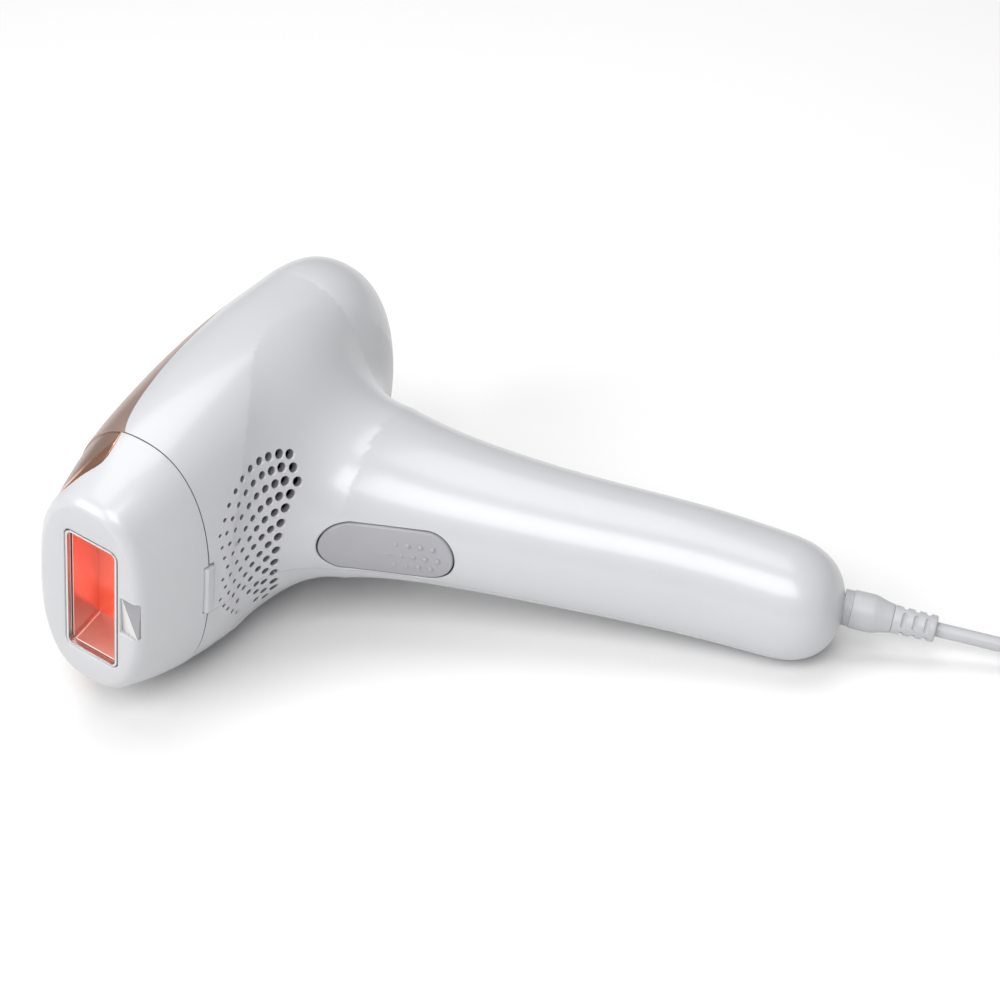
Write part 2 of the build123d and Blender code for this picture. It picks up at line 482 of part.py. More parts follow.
# ---------------------------------------------------------------- lay it down
lay = Rot(rest_roll, 0, 0) * Rot(0, rest_tilt, 0)
low = [1e9] * 3
high = [-1e9] * 3
on_cord = ("lead_plug", "plug_barrel", "plug_strain_relief")
for name in list(parts):
    parts[name] = lay * parts[name]
    if name not in on_cord:
        for v in parts[name].tessellate(0.02)[0] if name in ("upper_shell", "lower_shell", "attachment_shell", "top_cover", "power_button", "intensity_button") else []:
            low = [min(a, b) for a, b in zip(low, v)]
            high = [max(a, b) for a, b in zip(high, v)]
print("body box", [round(v, 3) for v in low], [round(v, 3) for v in high])
print("to centre it", [round(-(low[0] + high[0]) / 2, 3), round(-(low[1] + high[1]) / 2, 3), round(-low[2], 3)])
seat = Pos(*shift) * lay
leave = (seat * Location(Plane(origin=grip_point(plug_start + 24.5, end_u, 0)))).position
print("lead leaves at", [round(v, 3) for v in leave])
for name in parts:
    parts[name] = Pos(*shift) * parts[name]

# ---------------------------------------------------------------- the lead, in the stored frame
# It runs on from the strain relief down to the surface, is wound into a coil of
# twelve turns, three side by side and four deep, and ends in the wall adapter.
route_in = [(111.674, 59.276, 9.389), (124.7, 63.7, 7.05), (137.4, 67.9, 4.95), (149.8, 71.5, 3.35), (161.5, 73.9, 2.6), (172.0, 74.8, 2.5)]
route_out = [(172.0, 74.8, 13.9), (187.6, 75.4, 11.6), (203.4, 75.0, 7.2), (214.6, 68.6, 4.2), (221.0, 57.4, 3.5), (221.0, 44.0, 5.0)]
coil_at, turn_r, rows_deep, tie_t = (172.0, 49.0), (18.2, 22.0, 25.8), 4, 0.6
assert (leave - Vector(*route_in[0])).length < 0.05


def lead(points, name):
    """A round lead along straight runs joined by tangent arcs."""
    p = [Vector(*v) for v in points]
    radii = []
    for a, b, c in zip(p, p[1:], p[2:]):
        turn = (b - a).get_angle(c - b)
        radii.append(0.45 * min((b - a).length, (c - b).length) / math.tan(math.radians(turn / 2)))
    print(name, "radii", [round(r, 1) for r in radii])
    path = FilletPolyline(*p, radius=radii)
    tube = Solid.sweep(Face(Wire.make_circle(cord_d / 2, Plane(origin=p[0], z_dir=p[1] - p[0]))), path.wire() if hasattr(path, "wire") else path)
    print(name, "length", round(path.length, 2), "volume ratio", round(tube.volume / (path.length * math.pi * cord_d**2 / 4), 4))
    return tube


r0, r1 = turn_r[0] - cord_d / 2 - 0.2, turn_r[-1] + cord_d / 2 + 0.2
coil = Pos(*coil_at, tie_t) * (Cylinder(r1, rows_deep * cord_d + 0.1, align=(Align.CENTER, Align.CENTER, Align.MIN)) - Cylinder(r0, 40))
coil = coil.fillet(1.6, coil.edges().filter_by(GeomType.CIRCLE))
parts["cord_coil"] = one(coil)
parts["supply_cord"] = one(biggest(lead(route_in, "supply_cord") - coil))
parts["supply_cord_end"] = one(biggest(lead(route_out, "supply_cord_end") - coil))
print("turns", len(turn_r) * rows_deep, "wound length", round(rows_deep * sum(2 * math.pi * r for r in turn_r), 1))
tie = box(coil_at[0] - 4.5, coil_at[0] + 4.5, 20.1, 34.5, 0.0, 16.9) - box(coil_at[0] - 6, coil_at[0] + 6, 21.0, 33.6, 0.6, 16.0)
parts["cord_tie"] = one(tie)
# wall adapter, lying on its side, with two round mains pins
ad_x, ad_y, ad_z, pin_pitch, pin_l = (206.0, 236.0), (-42.0, 28.0), 42.0, 19.0, 19.0
body = box(*ad_x, *ad_y, 0.0, ad_z)
body = body.fillet(4.5, body.edges().filter_by(Axis.X))
body = body.fillet(2.0, body.faces().sort_by(Axis.X)[0].edges() + body.faces().sort_by(Axis.X)[-1].edges())
hollow = box(ad_x[0] + 2, ad_x[1] - 2, ad_y[0] + 2, ad_y[1] - 2, 2.0, ad_z - 2)
hollow = hollow.fillet(2.6, hollow.edges().filter_by(Axis.X))
case = body - hollow
pins = []
for k in (-1, 1):
    pin = rod((ad_x[1] - 3.0, -12.0, ad_z / 2 + k * pin_pitch / 2), (1, 0, 0), pin_l + 3.0, 2.0)
    pin = pin.fillet(0.9, pin.faces().sort_by(Axis.X)[-1].edges())
    pin = pin.fuse(rod((ad_x[1] - 3.0, -12.0, ad_z / 2 + k * pin_pitch / 2), (1, 0, 0), 4.0, 2.6))
    case = case - rod((ad_x[1] - 5.0, -12.0, ad_z / 2 + k * pin_pitch / 2), (1, 0, 0), 8.0, 2.62)
    pins.append(one(pin))
exit_hole = rod((221.0, 24.0, 5.0), (0, 1, 0), 10.0, 2.6)
case = case - exit_hole
parts["adapter_case"] = biggest(case & box(ad_x[0] - 1, ad_x[1] - 8.0, -60, 60, -1, 60))
parts["adapter_lid"] = biggest(case & box(ad_x[1] - 8.0, ad_x[1] + 1, -60, 60, -1, 60))
parts["adapter_pins"] = Compound(pins)
turned = Solid.revolve(Face(Wire.make_polygon([Vector(*p) for p in [(0, 0, -2.5), (2.55, 0, -2.5), (2.55, 0, 0.05), (4.1, 0, 0.05), (3.6, 0, 6.0), (2.9, 0, 14.0), (2.5, 0, 16.0), (0, 0, 16.0)]], close=True)), 360, Axis.Z)
parts["adapter_strain_relief"] = one(Plane(origin=(221.0, ad_y[1], 5.0), z_dir=(0, 1, 0)) * turned)

os.makedirs("parts", exist_ok=True)
for name, s in parts.items():
    s.label = name
    export_step(s, "parts/" + name + ".step")
    print(name, len(s.solids()), round(s.volume, 1), s.is_valid)
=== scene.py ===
import bpy, bmesh, math
import numpy as np
from mathutils import Matrix, Vector, Quaternion


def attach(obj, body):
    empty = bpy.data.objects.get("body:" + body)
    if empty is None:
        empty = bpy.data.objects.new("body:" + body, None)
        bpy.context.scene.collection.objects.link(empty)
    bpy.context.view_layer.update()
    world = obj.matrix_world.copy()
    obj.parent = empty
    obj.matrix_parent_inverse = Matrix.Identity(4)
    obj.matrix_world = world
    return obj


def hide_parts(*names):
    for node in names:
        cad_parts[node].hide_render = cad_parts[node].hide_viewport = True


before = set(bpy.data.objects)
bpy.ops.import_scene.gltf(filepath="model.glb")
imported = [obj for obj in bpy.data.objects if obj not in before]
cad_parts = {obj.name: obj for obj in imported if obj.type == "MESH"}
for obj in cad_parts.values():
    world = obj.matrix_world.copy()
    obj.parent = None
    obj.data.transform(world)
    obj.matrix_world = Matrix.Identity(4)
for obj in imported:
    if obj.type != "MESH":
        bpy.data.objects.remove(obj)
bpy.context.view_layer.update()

scene = bpy.context.scene
MM = 0.001

# ------------------------------------------------------------------ the design frame, as in the CAD
HY = np.array([3.0, 12.0, 24.0, 42.0, 60.0, 80.0, 98.0])
HXT = [-17.99, -20.63, -23.71, -27.13, -29.40, -30.66, -30.49]
HXB = [15.76, 18.39, 20.99, 23.25, 23.46, 20.79, 15.95]
HB = [31.25, 34.88, 38.15, 40.59, 41.20, 40.41, 38.61]
HL, DP, TIPX = 132.29, 2.119, -14.34
GS = np.array([16.0, 28.0, 40.0, 58.0, 86.0, 115.0, 144.0])
GHI = [-26.89, -23.18, -21.07, -19.34, -17.55, -16.44, -17.78]
GHB = [30.46, 26.26, 22.80, 19.55, 17.30, 16.34, 13.09]
GR2 = [26.10, 22.43, 20.11, 18.44, 17.37, 16.95, 15.90]
G0 = np.array([6.51, 68.96])
GA = math.radians(18.65)
CA, SA = math.cos(GA), math.sin(GA)
GL, GC, GP, GN = 153.26, 17.81, 2.479, 2.1
WALL, PART_Z, SEAM, GAP = 2.2, -9.0, 21.3, 0.3
LAY = np.array([[0.9846558, 0.0, 0.1745075], [-0.002132, 0.9999254, 0.0120295], [-0.1744945, -0.012217, 0.9845824]])
SHIFT = np.array([-60.104, -65.986, 41.365])


def row(P):
    """Design frame in mm to the stored frame in m."""
    return (np.asarray(P, float) @ LAY.T + SHIFT) * MM


def rowv(V):
    return np.asarray(V, float) @ LAY.T


class Cubic:
    """Natural cubic through stations, continued past its ends."""

    def __init__(s, x, y):
        x, y = np.asarray(x, float), np.asarray(y, float)
        n, h = len(x), np.diff(x)
        A, r = np.zeros((n, n)), np.zeros(n)
        A[0, 0] = A[-1, -1] = 1
        for i in range(1, n - 1):
            A[i, i - 1], A[i, i], A[i, i + 1] = h[i - 1], 2 * (h[i - 1] + h[i]), h[i]
            r[i] = 6 * ((y[i + 1] - y[i]) / h[i] - (y[i] - y[i - 1]) / h[i - 1])
        s.x, s.y, s.h, s.m = x, y, h, np.linalg.solve(A, r)

    def __call__(s, v):
        v = np.asarray(v, float)
        i = np.clip(np.searchsorted(s.x, v) - 1, 0, len(s.h) - 1)
        p, q, h = (s.x[i + 1] - v) / s.h[i], (v - s.x[i]) / s.h[i], s.h[i]
        return p * s.y[i] + q * s.y[i + 1] + ((p**3 - p) * s.m[i] + (q**3 - q) * s.m[i + 1]) * h * h / 6


fxt, fxb, fb = Cubic(HY, HXT), Cubic(HY, HXB), Cubic(HY, HB)
fhi, fhb, fr2 = Cubic(GS, GHI), Cubic(GS, GHB), Cubic(GS, GR2)


def head_abc(y):
    """Centre, half width, half height and exponent of the head's section at y, before the dome closes it."""
    y = np.asarray(y, float)
    yy = np.clip(y, 0, 98.0)
    n = 2.567 - 0.251 * np.clip(y / 40, 0, 1)
    xt, xb, b = fxt(yy), fxb(yy), fb(yy)
    k = 2.0 * (np.clip(3.0 - y, 0, 3.2) / 3.0) ** 2
    xt, xb, b = xt + k, xb - k, b - k
    c, a = (xt + xb) / 2, (xb - xt) / 2
    q = np.clip((y - 98.0) / (HL - 98.0), 0, None)
    c = c + (TIPX - c) * q * q
    return c, a, b, n, q


def even(t, n, e=0.16):
    """Nearly |t|**n, but evenly curved through t = 0."""
    return ((t * t + e * e) ** (n / 2) - e**n) / ((1 + e * e) ** (n / 2) - e**n)


def head_R(P):
    c, a, b, n, q = head_abc(P[..., 1])
    r = (even((P[..., 0] - c) / a, n) + even(P[..., 2] / b, n)) ** (1 / n)
    return (r**DP + q**DP) ** (1 / DP)


def grip_suz(P):
    X, Y = P[..., 0] - G0[0], P[..., 1] - G0[1]
    return CA * X + SA * Y, -SA * X + CA * Y, P[..., 2]


def grip_R(P):
    s, u, z = grip_suz(P)
    sc = np.clip(s, 2.0, 156)
    c, a, r2 = (fhi(sc) + fhb(sc)) / 2, (fhb(sc) - fhi(sc)) / 2, fr2(sc)
    r = (even((u - c) / a, GN) + even(z / r2, GN)) ** (1 / GN)
    q = np.clip((s - (GL - GC)) / GC, 0, None)
    qi = np.clip((9.0 - s) / 26.0, 0, None)
    return (r**GP + q**GP + qi**GP) ** (1 / GP)


def dist(F, P, e=0.05):
    """First-order distance to F = 1."""
    v = F(P)
    g2 = 0
    for k in range(3):
        d = np.zeros(3)
        d[k] = e
        g2 = g2 + ((F(P + d) - v) / e) ** 2
    return (v - 1) / np.sqrt(g2 + 1e-12)


BLEND = 13.0


def body_d(P):
    """Head and handle joined by a soft web."""
    d1, d2 = dist(head_R, P), dist(grip_R, P)
    h = np.clip(0.5 + 0.5 * (d2 - d1) / BLEND, 0, 1)
    return d2 * (1 - h) + d1 * h - BLEND * h * (1 - h) * 0.5


def grad(F, P, e=0.04):
    g = np.zeros_like(P)
    for k in range(3):
        d = np.zeros(3)
        d[k] = e
        g[:, k] = (F(P + d) - F(P - d)) / (2 * e)
    return g


def settle(F, P, level=0.0, steps=5):
    """Move points onto F = level and give the outward normals there."""
    P = P.copy()
    for _ in range(steps):
        g = grad(F, P)
        n2 = (g * g).sum(1)
        st = ((F(P) - level) / np.maximum(n2, 1e-6))[:, None] * g
        ln = np.linalg.norm(st, axis=1, keepdims=True)
        P -= st * np.minimum(1, 1.0 / np.maximum(ln, 1e-9))
    g = grad(F, P)
    return P, g / np.linalg.norm(g, axis=1, keepdims=True)


def surface_nets(F, lo, hi, h, level=0.0):
    """Quads round F = level on a grid of step h."""
    ax = [np.arange(lo[k], hi[k] + h, h) for k in range(3)]
    X = np.stack(np.meshgrid(*ax, indexing="ij"), -1)
    V = F(X.reshape(-1, 3)).reshape(X.shape[:3]) - level
    S = V < 0
    n = [len(a) - 1 for a in ax]
    cell = np.zeros(n, int)
    for i in (0, 1):
        for j in (0, 1):
            for k in (0, 1):
                cell += S[i : i + n[0], j : j + n[1], k : k + n[2]]
    act = (cell > 0) & (cell < 8)
    idx = -np.ones(n, int)
    idx[act] = np.arange(act.sum())
    I = np.argwhere(act)
    acc, cnt = np.zeros((len(I), 3)), np.zeros(len(I))
    cor = [(i, j, k) for i in (0, 1) for j in (0, 1) for k in (0, 1)]
    for a in range(8):
        for b in range(a + 1, 8):
            ca, cb = np.array(cor[a]), np.array(cor[b])
            if np.abs(ca - cb).sum() != 1:
                continue
            va, vb = V[tuple((I + ca).T)], V[tuple((I + cb).T)]
            m = (va < 0) != (vb < 0)
            t = np.where(m, va / np.where(m, va - vb, 1), 0)[:, None]
            acc += np.where(m[:, None], ca + (cb - ca) * t, 0)
            cnt += m
    P = np.array(lo) + (I + acc / cnt[:, None]) * h
    faces = []
    for k in range(3):
        o1, o2 = [(1, 2), (2, 0), (0, 1)][k]
        sl = [slice(1, n[0]), slice(1, n[1]), slice(1, n[2])]
        sl[k] = slice(0, n[k])
        A = S[tuple(sl)]
        s2 = list(sl)
        s2[k] = slice(1, n[k] + 1)
        B = S[tuple(s2)]
        E = np.argwhere(A != B)
        base = E + np.array([0 if q == k else 1 for q in range(3)])
        inside_first = A[tuple(E.T)]
        e1, e2 = np.eye(3, dtype=int)[o1], np.eye(3, dtype=int)[o2]
        q = np.stack([idx[tuple((base - e1 - e2).T)], idx[tuple((base - e2).T)], idx[tuple(base.T)], idx[tuple((base - e1).T)]], 1)
        q = np.where(inside_first[:, None], q, q[:, ::-1])
        faces.append(q[(q >= 0).all(1)])
    return P, np.concatenate(faces)


# ------------------------------------------------------------------ mesh helpers
def new_mesh(name, V, faces, smooth=True, to_row=True):
    me = bpy.data.meshes.new(name)
    V = row(V) if to_row else np.asarray(V, float)
    me.from_pydata([tuple(v) for v in V], [], [tuple(int(i) for i in f) for f in faces])
    me.validate()
    if smooth:
        me.shade_smooth()
    ob = bpy.data.objects.new(name, me)
    scene.collection.objects.link(ob)
    return ob


def boolean(ob, tool, op="DIFFERENCE", keep=False):
    m = ob.modifiers.new("b", "BOOLEAN")
    m.operation, m.object = op, tool
    m.solver = "MANIFOLD"
    dg = bpy.context.evaluated_depsgraph_get()
    me = bpy.data.meshes.new_from_object(ob.evaluated_get(dg))
    ob.modifiers.clear()
    if len(me.polygons) == 0 and op != "INTERSECT":
        print("BOOLEAN EMPTY", ob.name, tool.name)
    old = ob.data
    ob.data = me
    me.name = ob.name
    bpy.data.meshes.remove(old)
    if not keep:
        bpy.data.objects.remove(tool)
    return ob


def set_normals(ob, F, tol=0.02, angle=0.75):
    """Exact normals on the surface F = 0; other faces smooth only within 30 degrees."""
    me = ob.data
    n = len(me.vertices)
    co = np.empty(n * 3)
    me.vertices.foreach_get("co", co)
    P = ((co.reshape(-1, 3) / MM) - SHIFT) @ LAY
    d = F(P)
    g = grad(F, P)
    N = g / np.maximum(np.linalg.norm(g, axis=1, keepdims=True), 1e-9)
    on = np.abs(d) < tol
    me.shade_smooth()
    me.set_sharp_from_angle(angle=math.radians(32))
    NL = len(me.loops)
    cn = np.empty(NL * 3)
    me.corner_normals.foreach_get("vector", cn)
    cn = cn.reshape(-1, 3)
    lv = np.empty(NL, int)
    me.loops.foreach_get("vertex_index", lv)
    nf = len(me.polygons)
    fn = np.empty(nf * 3)
    me.polygons.foreach_get("normal", fn)
    ls, lt = np.empty(nf, int), np.empty(nf, int)
    me.polygons.foreach_get("loop_start", ls)
    me.polygons.foreach_get("loop_total", lt)
    lf = np.repeat(np.arange(nf), lt)
    FN = fn.reshape(-1, 3)[lf]
    RN = rowv(N)[lv]
    use = on[lv] & ((FN * RN).sum(1) > angle)
    out = np.where(use[:, None], RN, cn)
    me.normals_split_custom_set([tuple(v) for v in out])


def loft(rings, closed_ring=True, cap0=True, cap1=True):
    """Vertices and quads of a stack of equal rings; caps are fans round their middles."""
    rings = [np.asarray(r, float) for r in rings]
    m = len(rings[0])
    V = np.concatenate(rings)
    F = []
    for i in range(len(rings) - 1):
        for j in range(m if closed_ring else m - 1):
            k = (j + 1) % m
            F.append((i * m + j, i * m + k, (i + 1) * m + k, (i + 1) * m + j))
    if cap0:
        V = np.vstack([V, rings[0].mean(0)])
        c = len(V) - 1
        F += [(c, (j + 1) % m, j) for j in range(m)]
    if cap1:
        V = np.vstack([V, rings[-1].mean(0)])
        c, o = len(V) - 1, (len(rings) - 1) * m
        F += [(c, o + j, o + (j + 1) % m) for j in range(m)]
    return V, F


def join(parts):
    """Several (V, F) as one."""
    VV, FF, o = [], [], 0
    for V, F in parts:
        VV.append(np.asarray(V, float))
        FF += [tuple(i + o for i in f) for f in F]
        o += len(V)
    return np.concatenate(VV), FF


def outward(ob):
    bm = bmesh.new()
    bm.from_mesh(ob.data)
    bmesh.ops.remove_doubles(bm, verts=bm.verts, dist=1e-8)
    bmesh.ops.recalc_face_normals(bm, faces=bm.faces)
    bm.to_mesh(ob.data)
    bm.free()
    return ob


def rrect(w, h, r, seg=8):
    """Rounded rectangle, as points in a plane, anticlockwise."""
    out = []
    for cx, cz, a0 in ((w / 2 - r, h / 2 - r, 0), (-w / 2 + r, h / 2 - r, 90), (-w / 2 + r, -h / 2 + r, 180), (w / 2 - r, -h / 2 + r, 270)):
        for i in range(seg + 1):
            a = math.radians(a0 + 90 * i / seg)
            out.append((cx + r * math.cos(a), cz + r * math.sin(a)))
    return np.array(out)


def rr_solid(w, h, r, stations, x=0.0, z=0.0, seg=8):
    """Rounded-rectangle solid along the design Y; stations are (y, grow)."""
    rings = []
    for y, g in stations:
        p = rrect(w + 2 * g, h + 2 * g, max(0.05, r + g), seg)
        rings.append(np.stack([x + p[:, 0], np.full(len(p), y), z + p[:, 1]], 1))
    return loft(rings)


def tube_solid(p, d, stations, n=24, ref=(0, 0, 1)):
    """Turned solid from p along d; stations are (distance, radius)."""
    d = np.asarray(d, float) / np.linalg.norm(d)
    e = np.cross(d, ref)
    e /= np.linalg.norm(e)
    f = np.cross(d, e)
    t = np.linspace(0, 2 * np.pi, n, endpoint=False)
    rings = [np.asarray(p) + d * s + r * (np.cos(t)[:, None] * e + np.sin(t)[:, None] * f) for s, r in stations]
    return loft(rings)


def grip_pt(s, u, z):
    return np.stack(np.broadcast_arrays(G0[0] + CA * np.asarray(s, float) - SA * np.asarray(u, float), G0[1] + SA * np.asarray(s, float) + CA * np.asarray(u, float), np.asarray(z, float)), -1)

# ------------------------------------------------------------------ materials
MATS = {}


def mat(name, base, rough=0.4, metal=0.0, spec=0.5, vary=0.03, scale=220.0, bump=0.02, coat=0.0, coat_rough=0.05, alt=None, trans=0.0, ior=1.5, emit=None, stretch=(1, 1, 1), rough_vary=0.06, aniso=None):
    """Principled finish with fine colour, roughness and relief noise, all in object space."""
    m = bpy.data.materials.new(name)
    m.use_nodes = True
    nt = m.node_tree
    nt.nodes.clear()
    N = nt.nodes.new
    out, sh = N("ShaderNodeOutputMaterial"), N("ShaderNodeBsdfPrincipled")
    nt.links.new(sh.outputs[0], out.inputs["Surface"])
    co, mp = N("ShaderNodeTexCoord"), N("ShaderNodeMapping")
    mp.inputs["Scale"].default_value = stretch
    nt.links.new(co.outputs["Object"], mp.inputs["Vector"])
    n1, n2 = N("ShaderNodeTexNoise"), N("ShaderNodeTexNoise")
    for n, s, d in ((n1, scale * 0.25, 3.0), (n2, scale * 9, 2.0)):
        n.inputs["Scale"].default_value = s
        n.inputs["Detail"].default_value = d
        nt.links.new(mp.outputs[0], n.inputs["Vector"])
    ramp = N("ShaderNodeValToRGB")
    other = alt if alt else tuple(c * (1 - vary) for c in base)
    ramp.color_ramp.elements[0].position, ramp.color_ramp.elements[1].position = 0.35, 0.65
    ramp.color_ramp.elements[0].color = (*other, 1)
    ramp.color_ramp.elements[1].color = (*base, 1)
    nt.links.new(n1.outputs["Fac"], ramp.inputs["Fac"])
    nt.links.new(ramp.outputs["Color"], sh.inputs["Base Color"])
    mr = N("ShaderNodeMapRange")
    mr.inputs["To Min"].default_value = max(0.0, rough - rough_vary * rough)
    mr.inputs["To Max"].default_value = min(1.0, rough + rough_vary * rough)
    nt.links.new(n2.outputs["Fac"], mr.inputs["Value"])
    nt.links.new(mr.outputs[0], sh.inputs["Roughness"])
    if bump:
        b = N("ShaderNodeBump")
        b.inputs["Strength"].default_value = bump
        b.inputs["Distance"].default_value = 0.0001
        nt.links.new(n2.outputs["Fac"], b.inputs["Height"])
        nt.links.new(b.outputs["Normal"], sh.inputs["Normal"])
    sh.inputs["Metallic"].default_value = metal
    sh.inputs["IOR"].default_value = ior
    sh.inputs["Specular IOR Level"].default_value = spec
    sh.inputs["Coat Weight"].default_value = coat
    sh.inputs["Coat Roughness"].default_value = coat_rough
    sh.inputs["Transmission Weight"].default_value = trans
    if emit:
        sh.inputs["Emission Color"].default_value = (*emit[0], 1)
        sh.inputs["Emission Strength"].default_value = emit[1]
    MATS[name] = m
    return m


mat("body_white", (0.50, 0.503, 0.522), rough=0.30, vary=0.012, scale=300, bump=0.0, coat=0.25, coat_rough=0.12, rough_vary=0.03)
# a slightly greyer copy of the body's white for the flat front face: painted shade, not a colour of its own
mat("face_shaded_white", (0.48, 0.483, 0.50), rough=0.36, vary=0.012, scale=300, bump=0.0, coat=0.15, coat_rough=0.15, rough_vary=0.03)
mat("rose_gold", (0.40, 0.285, 0.245), rough=0.36, metal=0.55, vary=0.06, scale=160, bump=0.02, coat=0.25, coat_rough=0.18)
mat("inlay_rose", (0.33, 0.215, 0.175), rough=0.34, metal=0.6, vary=0.06, scale=160, bump=0.02, coat=0.3, coat_rough=0.15)
mat("copper_trim", (0.86, 0.44, 0.29), rough=0.2, metal=1.0, vary=0.08, scale=200, bump=0.01)
mat("frame_silver", (0.66, 0.655, 0.665), rough=0.23, metal=0.95, vary=0.05, scale=200, bump=0.012)
mat("guide_mirror", (0.95, 0.64, 0.58), rough=0.26, metal=1.0, vary=0.04, scale=120, bump=0.03, stretch=(1, 1, 0.12))
# the red filter glows by a weak emission: a painted glow for light through the red glass, though it is no lamp
mat("filter_red", (0.84, 0.095, 0.045), rough=0.14, vary=0.25, scale=80, bump=0.01, coat=0.6, emit=((0.92, 0.10, 0.05), 0.16))
mat("glass_clear", (0.93, 0.96, 0.97), rough=0.03, trans=1.0, vary=0.02, bump=0)
mat("sensor_grey", (0.30, 0.30, 0.315), rough=0.25, metal=0.5, vary=0.12, scale=300, bump=0.02, coat=0.4)
# a lighter copy of the sensor grey: painted light on one facet of the sensor window
mat("sensor_painted_light", (0.62, 0.61, 0.60), rough=0.3, metal=0.35, vary=0.05, scale=300, bump=0.01, coat=0.3)
mat("button_grey", (0.33, 0.33, 0.355), rough=0.46, vary=0.03, scale=150, bump=0.03)
mat("key_rose", (0.62, 0.43, 0.36), rough=0.34, metal=0.5, vary=0.05, scale=150, bump=0.02)
mat("light_pipe", (0.86, 0.87, 0.90), rough=0.35, vary=0.03, scale=150, bump=0.01, coat=0.3)
mat("chassis_grey", (0.23, 0.235, 0.25), rough=0.55, vary=0.08, scale=150, bump=0.05)
mat("fan_black", (0.025, 0.025, 0.028), rough=0.45, vary=0.2, scale=150, bump=0.03)
mat("board_green", (0.02, 0.16, 0.07), rough=0.4, vary=0.3, scale=300, bump=0.05, coat=0.2)
mat("component_dark", (0.03, 0.03, 0.035), rough=0.4, vary=0.3, scale=200, bump=0.03)
mat("winding_tape", (0.65, 0.42, 0.05), rough=0.42, vary=0.2, scale=260, bump=0.08)
mat("steel", (0.55, 0.56, 0.58), rough=0.26, metal=1.0, vary=0.08, scale=220, bump=0.03)
mat("lead_white", (0.44, 0.443, 0.46), rough=0.42, vary=0.03, scale=160, bump=0.03)
mat("adapter_white", (0.72, 0.73, 0.75), rough=0.4, vary=0.03, scale=120, bump=0.05)
mat("pin_nickel", (0.70, 0.68, 0.64), rough=0.2, metal=1.0, vary=0.06, scale=240, bump=0.02)
mat("tie_fabric", (0.10, 0.10, 0.11), rough=0.85, vary=0.35, scale=700, bump=0.4)
# a dark grey for faces inside the shell: painted shade for the unlit inside
mat("inside_painted_shade", (0.20, 0.20, 0.21), rough=0.6, vary=0.1, scale=120, bump=0.03)

for node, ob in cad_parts.items():
    for sl in ob.material_slots:
        key = sl.material.name.split(".")[0] if sl.material else ""
        sl.material = MATS.get(key, MATS["chassis_grey"])


def finish_piece(ob, body, nodes, material):
    ms = material if isinstance(material, (list, tuple)) else [material]
    ob.data.materials.clear()
    for m in ms:
        ob.data.materials.append(MATS[m])
    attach(ob, body)
    if nodes:
        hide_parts(*nodes)
    return ob


# ------------------------------------------------------------------ housing
h = 1.15
lo, hi = (-34.0, 11.0, -44.5), (156.5, 135.0, 44.5)


def clipped(P):
    return np.maximum(body_d(P), 13.0 - P[..., 1])


class Grid:
    """The field on one grid, kept for several levels."""

    def __init__(s):
        s.V = None

    def __call__(s, P):
        if s.V is None:
            out = np.empty(len(P))
            for i in range(0, len(P), 200000):
                out[i : i + 200000] = clipped(P[i : i + 200000])
            s.V = out
        return s.V


grid = Grid()


def level_body(level, name):
    P, F = surface_nets(grid, lo, hi, h, level)
    near = P[:, 1] > 15.0
    Q, _ = settle(body_d, P[near], level, 3 if level == 0 else 1)
    P[near] = Q
    return new_mesh(name, P, F)


def block(x0, x1, y0, y1, z0, z1, name="block"):
    V = [(x, y, z) for x in (x0, x1) for y in (y0, y1) for z in (z0, z1)]
    F = [(0, 1, 3, 2), (4, 6, 7, 5), (0, 4, 5, 1), (2, 3, 7, 6), (0, 2, 6, 4), (1, 5, 7, 3)]
    return outward(new_mesh(name, V, F, smooth=False))


def prism_yz(pts, x0, x1, name="prism"):
    """Prism along the design X over an outline of (y, z) points."""
    p = np.array(pts)
    rings = [np.stack([np.full(len(p), x), p[:, 0], p[:, 1]], 1) for x in (x0, x1)]
    V = np.concatenate(rings)
    m = len(p)
    F = [(j, (j + 1) % m, m + (j + 1) % m, m + j) for j in range(m)] + [tuple(range(m))[::-1], tuple(range(m, 2 * m))]
    return outward(new_mesh(name, V, F, smooth=False))


COVER = [(21.9, 36.9), (31.3, 37.2), (45.6, 36.8), (59.6, 36.0), (79.6, 33.4), (92.0, 29.3), (103.0, 22.4), (111.5, 12.5)]


def cover_outline(grow, y0):
    """Parallel-sided outline closing to a round tip."""
    half = np.array([(y, z + grow) for y, z in COVER] + [(115.6 + grow, 0.0)])
    full = np.vstack([half, half[:-1][::-1] * [1, -1]])
    L = np.concatenate([[0], np.cumsum(np.linalg.norm(np.diff(full, axis=0), axis=1))])
    fy, fz = Cubic(L, full[:, 0]), Cubic(L, full[:, 1])
    t = np.linspace(0, L[-1], 220)
    p = np.stack([fy(t), fz(t)], 1)
    p = p[p[:, 0] > y0 + 0.05]
    return [(y0, p[0, 1])] + [tuple(v) for v in p] + [(y0, p[-1, 1])]


shell = level_body(0.0, "housing_skin")
cut = block(-60, 60, 0, SEAM + GAP, -60, 60)
boolean(shell, cut)
skin12, skin135, inner = level_body(-1.2, "l12"), level_body(-1.35, "l135"), level_body(-WALL, "l22")
cover = shell.copy()
cover.data = shell.data.copy()
cover.name = "strip_cover"
scene.collection.objects.link(cover)
boolean(cover, prism_yz(cover_outline(0.0, 15.0), -62, -2.5), "INTERSECT")
boolean(cover, skin12)
pocket = prism_yz(cover_outline(0.14, 15.0), -62, -2.4)
boolean(pocket, skin135)
boolean(shell, inner)
boolean(shell, pocket)

